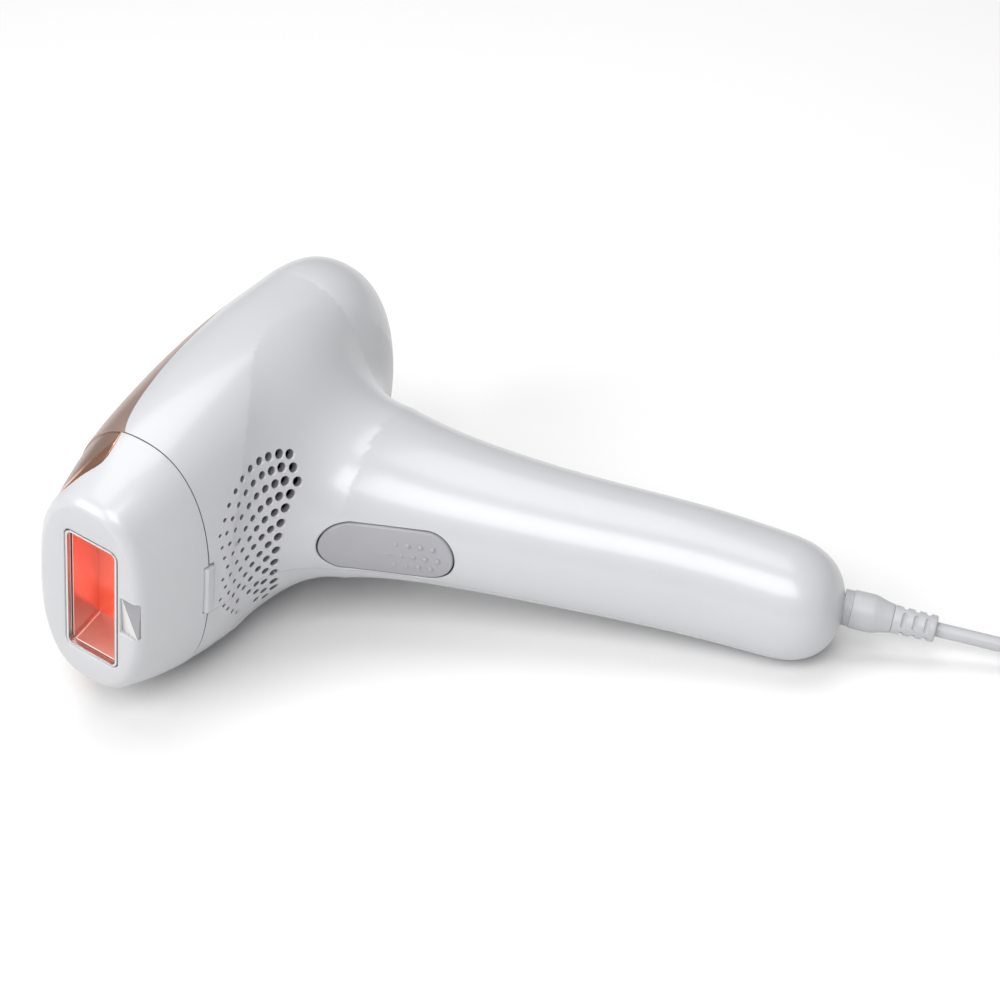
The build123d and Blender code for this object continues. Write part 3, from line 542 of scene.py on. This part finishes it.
# air inlet holes
vents = [
    [(53.9, 23.0), (50.4, 25.0), (46.7, 26.2), (43.3, 26.8), (39.9, 26.5), (36.4, 25.6), (33.3, 23.8), (30.2, 21.5), (27.9, 18.4), (25.6, 14.9)],
    [(54.1, 19.0), (49.9, 21.5), (46.2, 22.6), (42.8, 23.2), (39.4, 22.8), (36.3, 21.8), (33.2, 20.0), (30.4, 17.5), (27.9, 14.5), (26.0, 10.9)],
    [(54.9, 14.2), (50.2, 17.3), (46.4, 18.7), (42.8, 19.3), (39.5, 19.0), (36.4, 17.9), (33.4, 16.2), (30.8, 13.8), (28.6, 10.7), (26.6, 7.2)],
    [(51.6, 12.4), (47.3, 14.3), (43.5, 15.1), (40.1, 14.8), (37.0, 13.8), (34.3, 12.1), (31.7, 9.8), (29.5, 7.0), (27.6, 3.7), (26.0, 0.2)],
    [(49.3, 9.3), (45.0, 10.6), (41.3, 10.6), (38.1, 9.8), (35.4, 8.2), (32.8, 6.0), (30.7, 3.3), (28.7, 0.3), (27.1, -3.0), (25.6, -6.6)],
    [(47.3, 5.6), (43.3, 6.2), (39.9, 5.7), (36.9, 4.4), (34.4, 2.3), (32.2, -0.2), (30.2, -3.0), (28.5, -6.0), (27.1, -9.3)],
    [(46.3, 1.6), (42.5, 1.4), (39.1, 0.5), (36.4, -1.3), (34.0, -3.3), (32.0, -6.0), (30.2, -8.9), (28.9, -12.2)],
    [(45.7, -2.7), (42.0, -3.2), (38.9, -4.6), (36.3, -6.4), (34.0, -8.7), (32.2, -11.6), (31.0, -14.7)],
    [(45.5, -6.9), (42.1, -7.9), (39.0, -9.3), (36.3, -11.2), (34.6, -14.0), (33.1, -16.8)],
    [(45.9, -11.0), (42.3, -11.9), (39.6, -13.7), (37.4, -16.0), (35.5, -18.3)],
    [(47.0, -15.3), (43.2, -16.1), (40.7, -17.7), (38.9, -20.0)],
    [(48.2, -18.9), (45.2, -20.1), (42.1, -21.0)],
]
EYE = (np.array([328.508, -432.493, 455.337]) - SHIFT) @ LAY
holes = []
for line in vents:
    for y, z in line:
        r = 0.50 + 0.80 * min(1.0, max(0.0, (y - 25.0) / 25.0))
        if abs(z - PART_Z) < r + 0.25:
            z = PART_Z + math.copysign(r + 0.25, z - PART_Z)
        c, a, b, n, q = head_abc(y)
        xs = float(c + a * (1 - (abs(z) / b) ** n) ** (1 / n))
        p_ = np.array([xs, y, z])
        to = (EYE - p_) / np.linalg.norm(EYE - p_)
        t = np.linspace(22, -1.5, 120)
        ray = p_ + t[:, None] * to
        hit = ray[int(np.argmax(body_d(ray) < 0))]
        hit, nn = settle(body_d, hit[None, :], 0.0, 3)
        ax_ = nn[0] * 0.75 + np.array([0.25, 0, 0])
        holes.append(tube_solid(hit[0], ax_, [(-4.6, r), (-0.22, r), (-0.02, r + 0.1), (0.2, r + 0.26), (0.6, r + 0.4)], n=24))
tool = outward(new_mesh("vent_tool", *join(holes), smooth=False))
boolean(shell, tool)

# opening of the flash button
S0, S1, BW = 18.8, 53.6, 15.6
BC = (S0 + S1) / 2


def stadium_line(grow, n=96):
    """Outline in (s, z) about the button's middle."""
    R, L = BW / 2 + grow, (S1 - S0 - BW) / 2
    k = n // 4
    out = []
    for side in (1, -1):
        a = np.linspace(-np.pi / 2, np.pi / 2, 2 * k) * side
        out += [(BC + side * (L + R * math.cos(t)), R * math.sin(t)) for t in a]
    return np.array(out)


def grip_drop(s, z, level=0.0, F=body_d, u0=-26.0):
    """Height u at which the handle's finger side reaches the level, for each (s, z)."""
    s, z = np.asarray(s, float), np.asarray(z, float)
    u = np.full(s.shape, u0)
    for _ in range(14):
        P = grip_pt(s, u, z)
        d = F(P) - level
        e = (F(grip_pt(s, u + 0.05, z)) - F(grip_pt(s, u - 0.05, z))) / 0.1
        e = np.where(np.abs(e) < 0.15, -0.15, e)
        u = u - np.clip(d / e, -3, 3)
    return u


def stadium_tool(grow, u_lo=-60.0, u_hi=-3.0):
    p = stadium_line(grow)
    rings = [grip_pt(p[:, 0], np.full(len(p), u), p[:, 1]) for u in (u_lo, u_hi)]
    return outward(new_mesh("stadium", *loft(rings), smooth=False))


boolean(shell, stadium_tool(0.35))
# a soft lead-in round the opening
p0, p1 = stadium_line(0.95), stadium_line(0.34)
ua, ub = grip_drop(p0[:, 0], p0[:, 1]), grip_drop(p1[:, 0], p1[:, 1])
rings = [grip_pt(stadium_line(1.6)[:, 0], ua - 4.0, stadium_line(1.6)[:, 1]), grip_pt(p0[:, 0], ua - 0.02, p0[:, 1]), grip_pt(stadium_line(0.6)[:, 0], ub + 0.12, stadium_line(0.6)[:, 1]), grip_pt(p1[:, 0], ub + 0.42, p1[:, 1]), grip_pt(p1[:, 0], ub + 1.4, p1[:, 1])]
boolean(shell, outward(new_mesh("lead_in", *loft(rings), smooth=False)))

for y in (84.5, 97.0):
    for o in (shell, cover):
        boolean(o, outward(new_mesh("kh", *tube_solid((-45, y, 0), (1, 0, 0), [(0, 4.8), (30, 4.8)], n=64), smooth=False)))
for w in (-11.0, -5.5, 0.0, 5.5, 11.0):
    for o in (shell, cover):
        boolean(o, outward(new_mesh("lh", *tube_solid((-45, 76.0, w), (1, 0, 0), [(0, 1.15), (30, 1.15)], n=32), smooth=False)))
AX = np.array([CA, SA, 0.0])
END = 152.703
boolean(shell, outward(new_mesh("bore", *tube_solid(grip_pt(END - 12.0, 0, 0), AX, [(0, 3.4), (14.0, 3.4)], n=48), smooth=False)))
boolean(shell, block(19.0, 26.0, 20.0, 23.1, -8.2, 8.2))
low = shell.copy()
low.data = shell.data.copy()
low.name = "housing_lower"
scene.collection.objects.link(low)
boolean(shell, block(-70, 190, 0, 170, -70, PART_Z + 0.02))
boolean(low, block(-70, 190, 0, 170, PART_Z - 0.05, 70))
shell.name = "housing_upper"
for o in (shell, low, cover):
    set_normals(o, body_d)
finish_piece(shell, "housing", ["upper_shell"], ["body_white", "inside_painted_shade"])
finish_piece(low, "housing", ["lower_shell"], ["body_white", "inside_painted_shade"])
# faces more than 1 mm under the skin (vent bores and inner walls) take the dark grey: painted shade where no light
# reaches
for o in (shell, low):
    nf = len(o.data.polygons)
    cc = np.empty(nf * 3)
    o.data.polygons.foreach_get("center", cc)
    dd = body_d(((cc.reshape(-1, 3) / MM) - SHIFT) @ LAY)
    o.data.polygons.foreach_set("material_index", (dd < -1.0).astype(np.int32))
finish_piece(cover, "housing", ["top_cover"], "rose_gold")

# ------------------------------------------------------------------ flash button
rings = []
for g, lift in [(-0.02, -3.1), (-0.02, -0.75), (-0.08, -0.42), (-0.28, -0.14), (-0.6, -0.02), (-1.1, 0.0)]:
    p = stadium_line(g)
    u = grip_drop(p[:, 0], p[:, 1])
    rings.append(grip_pt(p[:, 0], u - lift, p[:, 1]))
base = stadium_line(-1.1)
mid = np.array([BC, 0.0])
axis_pts = np.stack([np.clip(base[:, 0], BC - 9.6, BC + 9.6), np.zeros(len(base))], 1)
for t in (0.84, 0.66, 0.48, 0.3, 0.14):
    p = axis_pts + (base - axis_pts) * t
    rings.append(grip_pt(p[:, 0], grip_drop(p[:, 0], p[:, 1]), p[:, 1]))
V, F = loft(rings, cap0=True, cap1=True)
parts_ = [(V, F)]
button = outward(new_mesh("flash_key", V, F))
button.data.set_sharp_from_angle(angle=math.radians(40))


def bump_dome(s, z, r=0.74, rise=0.56):
    u = float(grip_drop([s], [z])[0])
    c = grip_pt(s, u, z)
    d = np.array([SA, -CA, 0.0])
    return tube_solid(c, d, [(-0.5, r + 0.02), (-0.05, r + 0.02), (0.14, r * 0.97), (0.30, r * 0.84), (0.45, r * 0.6), (rise, r * 0.25)], n=24)


dots = [bump_dome(36.95 + 3.16 * k, 0.0) for k in range(5)] + [bump_dome(38.5 + 3.16 * k, w) for k in range(4) for w in (-3.35, 3.35)]
dome = outward(new_mesh("dots", *join(dots)))
boolean(button, dome, "UNION")
button.data.shade_smooth()
button.data.set_sharp_from_angle(angle=math.radians(42))
set_normals(button, body_d)
finish_piece(button, "flash_button", ["flash_button"], "button_grey")

# round keys on the strip, slightly dished
for node, y in (("intensity_button", 84.5), ("power_button", 97.0)):
    V, F = tube_solid((-31.3, y, 0), (1, 0, 0), [(0.22, 0.02), (0.20, 2.0), (0.06, 3.6), (0.0, 4.0), (0.10, 4.36), (0.42, 4.5), (3.33, 4.5), (3.35, 5.1), (3.85, 5.1), (3.86, 1.6), (3.85, 0.5)], n=64)
    k = outward(new_mesh(node + "_cap", V, F))
    k.data.set_sharp_from_angle(angle=math.radians(40))
    finish_piece(k, node, [node], "key_rose")

# ------------------------------------------------------------------ attachment
def soft_abc(y):
    c, a, b, n, q = head_abc(max(float(y), 3.0))
    n = 2.567 - 0.251 * min(max(y / 40, 0), 1)
    if y < 3.0:
        yy = float(y)
        xt, xb, bb = float(fxt(yy)), float(fxb(yy)), float(fb(yy))
        t = (3.0 - yy) / 3.0
        k = 2.15 * (1 - math.sqrt(max(0.0, 1 - t * t)))
        xt, xb, bb = xt + k, xb - k, bb - k
        c, a, b = (xt + xb) / 2, (xb - xt) / 2, bb
    return float(c), float(a), float(b), float(n)


def hring(y, off=0.0, m=240, yy=None):
    c, a, b, n = soft_abc(y)
    a, b = a + off, b + off
    t = np.linspace(0, 2 * np.pi, m, endpoint=False)
    r = (np.abs(np.cos(t) / a) ** n + np.abs(np.sin(t) / b) ** n) ** (-1 / n)
    return np.stack([c + r * np.cos(t), np.full(m, y if yy is None else yy), r * np.sin(t)], 1)


def skin_rings(off, y0, y1, lip=0.0):
    ys = [y for y in (0.0, 0.02, 0.09, 0.2, 0.36, 0.56, 0.8, 1.1, 1.45, 1.85, 2.3, 2.75, 3.3, 4.2, 5.5, 7, 9, 11, 13, 15, 17, 19, 20.4) if y0 <= y < y1 - 0.5]
    rr = [hring(y, off) for y in ys]
    if lip:
        rr += [hring(y1 - lip * (1 - math.sin(a)), off - lip * (1 - math.cos(a))) for a in np.radians([0, 18, 36, 54, 72, 90])]
    else:
        rr.append(hring(y1, off))
    return rr


outer = skin_rings(0.0, 0.0, SEAM + 0.1, lip=0.3)
inn = [hring(y, -2.0, yy=max(y, 2.0)) for y in (SEAM, 19.0, 15.0, 11.0, 7.0, 4.0, 2.6, 2.0)]
V, F = loft(outer + inn)
att = outward(new_mesh("attachment_skin", V, F))
tun = outward(new_mesh("tun", *rr_solid(16.8, 40.0, 2.3, [(-1.0, 0.6), (-0.01, 0.32), (0.05, 0.2), (0.16, 0.08), (0.34, 0.0), (6.0, 0.0)]), smooth=False))
boolean(att, tun)
sen = outward(new_mesh("sen", *rr_solid(5.6, 12.2, 0.7, [(-1.0, 0.5), (-0.01, 0.26), (0.05, 0.15), (0.15, 0.05), (0.3, 0.0), (6.0, 0.0)], x=12.0), smooth=False))
boolean(att, sen)

INLAY_OUT = [(21.3, 36.9), (19.8, 36.6), (15.1, 35.5), (10.1, 33.6), (6.3, 30.9), (3.7, 28.1), (2.9, 26.0)]
INLAY_IN = [(21.3, 36.75), (19.7, 36.4), (15.3, 34.6), (10.7, 31.8), (7.7, 29.2), (5.8, 26.6), (4.9, 24.0)]


def inlay_line(pts, m=60):
    """Outline from the seam at +z round the front to the seam at -z, as (y, z)."""
    half = np.array(pts)
    full = np.vstack([half, [(half[-1, 0] - 0.35, 0.0)], (half * [1, -1])[::-1]])
    L = np.concatenate([[0], np.cumsum(np.linalg.norm(np.diff(full, axis=0), axis=1))])
    fy, fz = Cubic(L, full[:, 0]), Cubic(L, full[:, 1])
    t = np.concatenate([np.linspace(0, L[len(half) - 1], m), np.linspace(L[len(half) - 1], L[len(half) + 1], m)[1:], np.linspace(L[len(half) + 1], L[-1], m)[1:]])
    return np.stack([fy(t), fz(t)], 1)


def strip_pt(y, z, off):
    """Points of the strip side seen at (y, z), then moved in along the normal by -off."""
    y, z = np.broadcast_arrays(np.asarray(y, float), np.asarray(z, float))
    c, a, b, n, q = head_abc(np.maximum(y, 3.0))
    zz_ = np.clip(np.abs(z) / b, 0, 0.9985)
    P = np.stack([c - a * (1 - zz_**n) ** (1 / n), y, np.sign(z) * zz_ * b], 1)
    g_ = grad(head_R, P)
    g_[:, 1] = 0
    return P + off * g_ / np.linalg.norm(g_, axis=1, keepdims=True)


lo_, li_ = inlay_line(INLAY_OUT), inlay_line(INLAY_IN)
deep = outward(new_mesh("att_deep", *loft([hring(y, -1.35, yy=y) for y in (0.5, 1.2, 2.0, 3.0, 5, 8, 11, 14, 17, 20, 24)]), smooth=False))
g = np.vstack([[(24.0, lo_[0, 1] + 0.1)], lo_ + np.array([0, 0.0]), [(24.0, lo_[-1, 1] - 0.1)]])
ptool = prism_yz([tuple(v) for v in g], -62, -0.6)
boolean(ptool, deep)
boolean(att, ptool)
boolean(att, block(19.0, 26.0, 19.7, 23.0, -7.9, 7.9))


def att_F(P):
    """Distance to the attachment's side."""
    return dist(head_R, P)


me = att.data
me.shade_smooth()
me.set_sharp_from_angle(angle=math.radians(34))
# the flat front face gets a slightly greyer copy of the body's white: painted shade for the face's angle to the light
finish_piece(att, "attachment", ["attachment_shell"], ["body_white", "face_shaded_white"])
for pl in me.polygons:
    n = LAY.T @ np.array(pl.normal)
    cy = ((np.array(pl.center) / MM - SHIFT) @ LAY)[1]
    if n[1] < -0.97 and cy < 0.15:
        pl.material_index = 1

# copper bevel: from the skin down to the inlay
rows = []
for w, off in ((0.0, -1.3), (0.0, -0.05), (0.12, -0.01), (0.5, -0.22), (0.9, -0.44), (1.0, -0.52), (1.0, -1.3)):
    p = lo_ * (1 - w) + li_ * w
    if w < 0.5:
        p = p + np.array([0.0, 0.0])
    inset = 0.04 if w < 0.5 else 0.0
    p = np.stack([np.minimum(p[:, 0] + inset, SEAM), p[:, 1] - np.sign(p[:, 1]) * inset * (np.abs(p[:, 1]) > 20)], 1)
    sink = -0.42 * np.clip((27.0 - np.abs(p[:, 1])) / 3.0, 0, 1) * (off > -0.3)
    rows.append(strip_pt(p[:, 0], p[:, 1], (off + sink)[:, None]))
m = len(lo_)
V = np.concatenate(rows)
F = []
R = len(rows)
for i in range(R):
    k = (i + 1) % R
    for j in range(m - 1):
        F.append((i * m + j, i * m + j + 1, k * m + j + 1, k * m + j))
F += [tuple(i * m for i in range(R)), tuple(i * m + m - 1 for i in range(R))[::-1]]
bez = outward(new_mesh("copper_bevel", V, F))
bez.data.set_sharp_from_angle(angle=math.radians(30))
finish_piece(bez, "attachment", ["inlay_bezel"], "copper_trim")

# inlay plate
zz = li_[:, 1]
rows = []
for off in (-0.55, -1.2):
    for v in np.linspace(0, 1, 26):
        y = (li_[:, 0] + 0.05) * (1 - v) + (SEAM - 0.05) * v
        z = zz * (1 - 0.0015)
        rows.append(strip_pt(y, z, off))
n_ = 26
V = np.concatenate(rows)
F = []
for t in range(2):
    for i in range(n_ - 1):
        for j in range(m - 1):
            a0 = (t * n_ + i) * m + j
            f = (a0, a0 + 1, a0 + m + 1, a0 + m)
            F.append(f if t == 0 else f[::-1])
for j in range(m - 1):
    F.append((j, n_ * m + j, n_ * m + j + 1, j + 1))
    a0, a1 = (n_ - 1) * m + j, (2 * n_ - 1) * m + j
    F.append((a0, a0 + 1, a1 + 1, a1))
bm = bmesh.new()
me = bpy.data.meshes.new("inlay_plate")
me.from_pydata([tuple(v) for v in row(V)], [], F)
bm.from_mesh(me)
bmesh.ops.remove_doubles(bm, verts=bm.verts, dist=2e-6)
bmesh.ops.dissolve_degenerate(bm, edges=bm.edges, dist=1e-7)
bmesh.ops.holes_fill(bm, edges=[e for e in bm.edges if e.is_boundary], sides=0)
bmesh.ops.recalc_face_normals(bm, faces=bm.faces)
bm.to_mesh(me)
bm.free()
me.shade_smooth()
me.set_sharp_from_angle(angle=math.radians(30))
inl = bpy.data.objects.new("inlay_plate", me)
scene.collection.objects.link(inl)
finish_piece(inl, "attachment", ["attachment_inlay"], "inlay_rose")

# ------------------------------------------------------------------ contact frame
W, H, T = 14.8, 38.0, 0.7
st = [(0.06, T - 0.24), (0.0, T - 0.36), (0.0, 0.34), (0.06, 0.16), (0.22, 0.04), (0.5, 0.0)]
ring_out = [(0.30, T), (0.12, T - 0.06)]
prof = [(4.2, 0.0), (4.2, T), (3.1, T), (3.1, 1.9), (2.15, 1.9), (2.15, T), (0.30, T), (0.12, T - 0.06), (0.03, T - 0.2), (0.0, T - 0.34), (0.0, 0.34), (0.03, 0.2), (0.12, 0.06), (0.3, 0.0)]
rings = []
for y, g_ in prof:
    p = rrect(W + 2 * g_, H + 2 * g_, 1.4 + g_, 10)
    rings.append(np.stack([p[:, 0], np.full(len(p), y), p[:, 1]], 1))
m2 = len(rings[0])
V = np.concatenate(rings)
F = [(i * m2 + j, i * m2 + (j + 1) % m2, ((i + 1) % len(rings)) * m2 + (j + 1) % m2, ((i + 1) % len(rings)) * m2 + j) for i in range(len(rings)) for j in range(m2)]
fr = outward(new_mesh("window_frame", V, F))
fr.data.set_sharp_from_angle(angle=math.radians(38))
finish_piece(fr, "contact_frame", ["contact_frame"], "frame_silver")

# skin sensor window: two facets meeting along its diagonal
q = rrect(5.4, 12.0, 0.6, 6)
mm_ = len(q)
side = (q[:, 0] / 2.7 + q[:, 1] / 6.0) / 2
depth = 0.45 + 1.05 * np.clip(side, 0, None) + 0.75 * np.clip(-side, 0, None)
rings = [np.stack([12.0 + q[:, 0], np.full(mm_, 1.9), q[:, 1]], 1), np.stack([12.0 + q[:, 0], depth, q[:, 1]], 1)]
V, F = loft(rings, cap1=False)
i0 = int(np.argmin(np.hypot(q[:, 0] + 2.7, q[:, 1] - 6.0)))
i1 = int(np.argmin(np.hypot(q[:, 0] - 2.7, q[:, 1] + 6.0)))
fa = [mm_ + (i0 + k) % mm_ for k in range((i1 - i0) % mm_ + 1)]
fb_ = [mm_ + (i1 + k) % mm_ for k in range((i0 - i1) % mm_ + 1)]
F += [tuple(fa), tuple(fb_)]
ls = outward(new_mesh("sensor_window", V, F, smooth=False))
finish_piece(ls, "attachment", ["skin_sensor_lens"], ["sensor_grey", "sensor_painted_light"])
# the lower-left facet takes the light grey and the other facet the dark grey: painted light and painted shade for the
# tilt of the two facets
for pl in ls.data.polygons:
    if len(pl.vertices) > 6:
        cx, cy, cz = ((np.array(pl.center) / MM) - SHIFT) @ LAY
        if cy < 1.5 and (cx - 12.0) / 2.7 + cz / 6.0 < 0:
            pl.material_index = 1

# ------------------------------------------------------------------ plug and strain relief
P0 = grip_pt(END + 0.05, 0, 0)
stn = [(0.0, 3.4), (0.0, 4.5), (0.15, 4.72)]
for k in range(5):
    a = 0.3 + k * 0.42
    stn += [(a, 4.75), (a + 0.26, 4.75), (a + 0.30, 4.62), (a + 0.38, 4.62)]
stn += [(2.42, 4.78), (2.5, 4.93), (2.75, 5.0), (5.0, 5.05), (7.5, 5.05), (8.3, 4.95), (9.0, 4.76), (10.5, 4.3), (12.0, 3.95), (12.9, 3.8), (13.15, 3.68), (13.2, 3.4)]
pg = outward(new_mesh("lead_collar", *tube_solid(P0, AX, stn, n=96)))
pg.data.set_sharp_from_angle(angle=math.radians(38))
finish_piece(pg, "housing", ["lead_plug"], "lead_white")
stn = [(13.25, 3.2), (13.25, 3.6), (13.4, 3.72), (14.2, 3.7), (15.0, 3.66), (24.0, 3.5), (24.3, 3.42), (24.48, 3.2), (24.5, 2.6)]
sr = outward(new_mesh("lead_boot", *tube_solid(P0, AX, stn, n=96)))
e1 = np.array([-SA, CA, 0.0])
e2 = np.array([0, 0, 1.0])
cuts = []
for k in range(3):
    for t in range(4):
        a = math.radians(90 * t + 45)
        d = e1 * math.cos(a) + e2 * math.sin(a)
        f = -e1 * math.sin(a) + e2 * math.cos(a)
        c = P0 + AX * (16.0 + 3.0 * k) + d * 2.6
        pr = rrect(4.0, 1.3, 0.55, 5)
        cuts.append(loft([c + d * q_ + f * pr[:, 0:1] + AX * pr[:, 1:2] for q_ in (0.0, 2.6)]))
boolean(sr, outward(new_mesh("slots", *join(cuts), smooth=False)))
sr.data.shade_smooth()
sr.data.set_sharp_from_angle(angle=math.radians(38))
finish_piece(sr, "housing", ["plug_strain_relief"], "lead_white")

# ------------------------------------------------------------------ the lead: one open spline
route_in = [(111.674, 59.276, 9.389), (124.7, 63.7, 7.05), (137.4, 67.9, 4.95), (149.8, 71.5, 3.35), (161.5, 73.9, 2.6)]
route_out = [(187.6, 75.4, 11.6), (203.4, 75.0, 7.2), (214.6, 68.6, 4.2), (221.0, 57.4, 3.5), (221.0, 44.0, 5.0)]
pts = list(route_in)
PER, TURNS = 20, 12
rad, high = [25.8, 22.0, 18.2, 18.2, 22.0, 25.8, 25.8, 22.0, 18.2, 18.2, 22.0, 25.8], [2.5, 2.5, 2.5, 6.3, 6.3, 6.3, 10.1, 10.1, 10.1, 13.9, 13.9, 13.9]
for i in range(PER * TURNS + 1):
    t = i / PER
    k = min(int(t), TURNS - 1)
    w = min(max((t - k - 0.82) / 0.18, 0), 1) if k < TURNS - 1 else 0
    w = w * w * (3 - 2 * w)
    k2 = min(k + 1, TURNS - 1)
    r_, z_ = rad[k] * (1 - w) + rad[k2] * w, high[k] * (1 - w) + high[k2] * w
    a = math.pi / 2 - 2 * math.pi * t
    pts.append((172.0 + r_ * 1.006 * math.cos(a), 49.0 + r_ * 1.006 * math.sin(a), z_))
pts += route_out
cu = bpy.data.curves.new("supply_lead", "CURVE")
cu.dimensions = "3D"
sp = cu.splines.new("NURBS")
sp.points.add(len(pts) - 1)
for q_, v in zip(sp.points, pts):
    q_.co = (v[0] * MM, v[1] * MM, v[2] * MM, 1)
sp.order_u = 3
sp.use_endpoint_u = True
sp.resolution_u = 6
cu.bevel_depth = 0.0019
cu.bevel_resolution = 5
cu.use_fill_caps = True
lead = bpy.data.objects.new("supply_lead", cu)
scene.collection.objects.link(lead)
cu.materials.append(MATS["lead_white"])
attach(lead, "housing")
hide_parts("supply_cord", "supply_cord_end", "cord_coil")

# tie round the coil: a soft fabric loop
bx, by, bz = (167.5, 176.5), (20.1, 34.5), (0.0, 16.9)


def loop_ring(inset, x, n=10):
    w, hgt = by[1] - by[0] - 2 * inset, bz[1] - bz[0] - 2 * inset
    p = rrect(w, hgt, max(0.6, 3.0 - inset), n)
    return np.stack([np.full(len(p), x), (by[0] + by[1]) / 2 + p[:, 0], (bz[0] + bz[1]) / 2 + p[:, 1]], 1)


rings = [loop_ring(0.0, bx[0] + 0.3), loop_ring(0.0, bx[1] - 0.3), loop_ring(0.12, bx[1] - 0.05), loop_ring(0.3, bx[1]), loop_ring(0.55, bx[1] - 0.12), loop_ring(0.62, bx[1] - 0.4), loop_ring(0.62, bx[0] + 0.4), loop_ring(0.55, bx[0] + 0.12), loop_ring(0.3, bx[0]), loop_ring(0.12, bx[0] + 0.05)]
m2 = len(rings[0])
V = np.concatenate(rings)
F = [(i * m2 + j, i * m2 + (j + 1) % m2, ((i + 1) % len(rings)) * m2 + (j + 1) % m2, ((i + 1) % len(rings)) * m2 + j) for i in range(len(rings)) for j in range(m2)]
tie = outward(new_mesh("lead_tie", V * MM, F, to_row=False))
finish_piece(tie, "housing", ["cord_tie"], "tie_fabric")

# ribbed boot where the lead enters the wall adapter
V, F = tube_solid((221.0, 28.0, 5.0), (0, 1, 0), [(0.05, 2.0), (0.05, 4.0), (0.2, 4.1)] + [(x_, r_) for k in range(6) for x_, r_ in ((1.2 + 2.1 * k, 4.02 - 0.2 * k), (1.7 + 2.1 * k, 3.95 - 0.2 * k), (1.8 + 2.1 * k, 3.55 - 0.18 * k), (2.5 + 2.1 * k, 3.5 - 0.18 * k), (2.6 + 2.1 * k, 3.86 - 0.2 * k))] + [(15.2, 2.7), (15.9, 2.5), (16.0, 2.0)], n=48)
boot = outward(new_mesh("adapter_boot", V * MM, F, to_row=False))
boot.data.set_sharp_from_angle(angle=math.radians(40))
finish_piece(boot, "housing", ["adapter_strain_relief"], "lead_white")

# ------------------------------------------------------------------ floor, light, camera
fm = bpy.data.materials.new("floor_paper")
fm.use_nodes = True
fs = fm.node_tree.nodes["Principled BSDF"]
fn = fm.node_tree.nodes.new("ShaderNodeTexNoise")
fn.inputs["Scale"].default_value = 30.0
fr2 = fm.node_tree.nodes.new("ShaderNodeValToRGB")
fr2.color_ramp.elements[0].color = (0.77, 0.77, 0.77, 1)
fr2.color_ramp.elements[1].color = (0.79, 0.79, 0.79, 1)
fm.node_tree.links.new(fn.outputs["Fac"], fr2.inputs["Fac"])
fm.node_tree.links.new(fr2.outputs["Color"], fs.inputs["Base Color"])
fs.inputs["Roughness"].default_value = 0.9
bm = bmesh.new()
bmesh.ops.create_grid(bm, x_segments=8, y_segments=8, size=4.0)
me = bpy.data.meshes.new("floor")
bm.to_mesh(me)
bm.free()
floor = bpy.data.objects.new("floor", me)
floor.location = (0, 0, -0.0002)
scene.collection.objects.link(floor)
me.materials.append(fm)

world = bpy.data.worlds.new("studio")
scene.world = world
world.use_nodes = True
world.node_tree.nodes["Background"].inputs[0].default_value = (1, 1, 1, 1)
world.node_tree.nodes["Background"].inputs[1].default_value = 0.29


def area(name, loc, target, size, power, size_y=None):
    l = bpy.data.lights.new(name, "AREA")
    l.shape = "RECTANGLE"
    l.size, l.size_y = size, size_y or size
    l.energy = power
    o = bpy.data.objects.new(name, l)
    o.location = loc
    o.rotation_mode = "QUATERNION"
    o.rotation_quaternion = (Vector(target) - Vector(loc)).to_track_quat("-Z", "Y")
    scene.collection.objects.link(o)
    return o


area("key_top", (-0.20, 0.25, 1.10), (0.02, 0, 0.03), 0.9, 8.0)
area("fill_right", (0.42, -0.62, 1.00), (0, 0, 0.03), 0.7, 9.0)
area("fill_front", (-0.45, -0.95, 0.70), (0, 0, 0.03), 0.8, 9.0)

cam = bpy.data.cameras.new("cam")
cam.lens, cam.sensor_width = 96.5536, 36.0
cam.clip_start, cam.clip_end = 0.01, 20
co_ = bpy.data.objects.new("cam", cam)
co_.location = (0.328508, -0.432493, 0.455337)
co_.rotation_mode = "QUATERNION"
co_.rotation_quaternion = (0.8612987, 0.4207675, 0.152294, 0.2406777)
scene.collection.objects.link(co_)
scene.camera = co_
scene.view_settings.view_transform = "Standard"
scene.view_settings.look = "None"

bpy.context.view_layer.update()
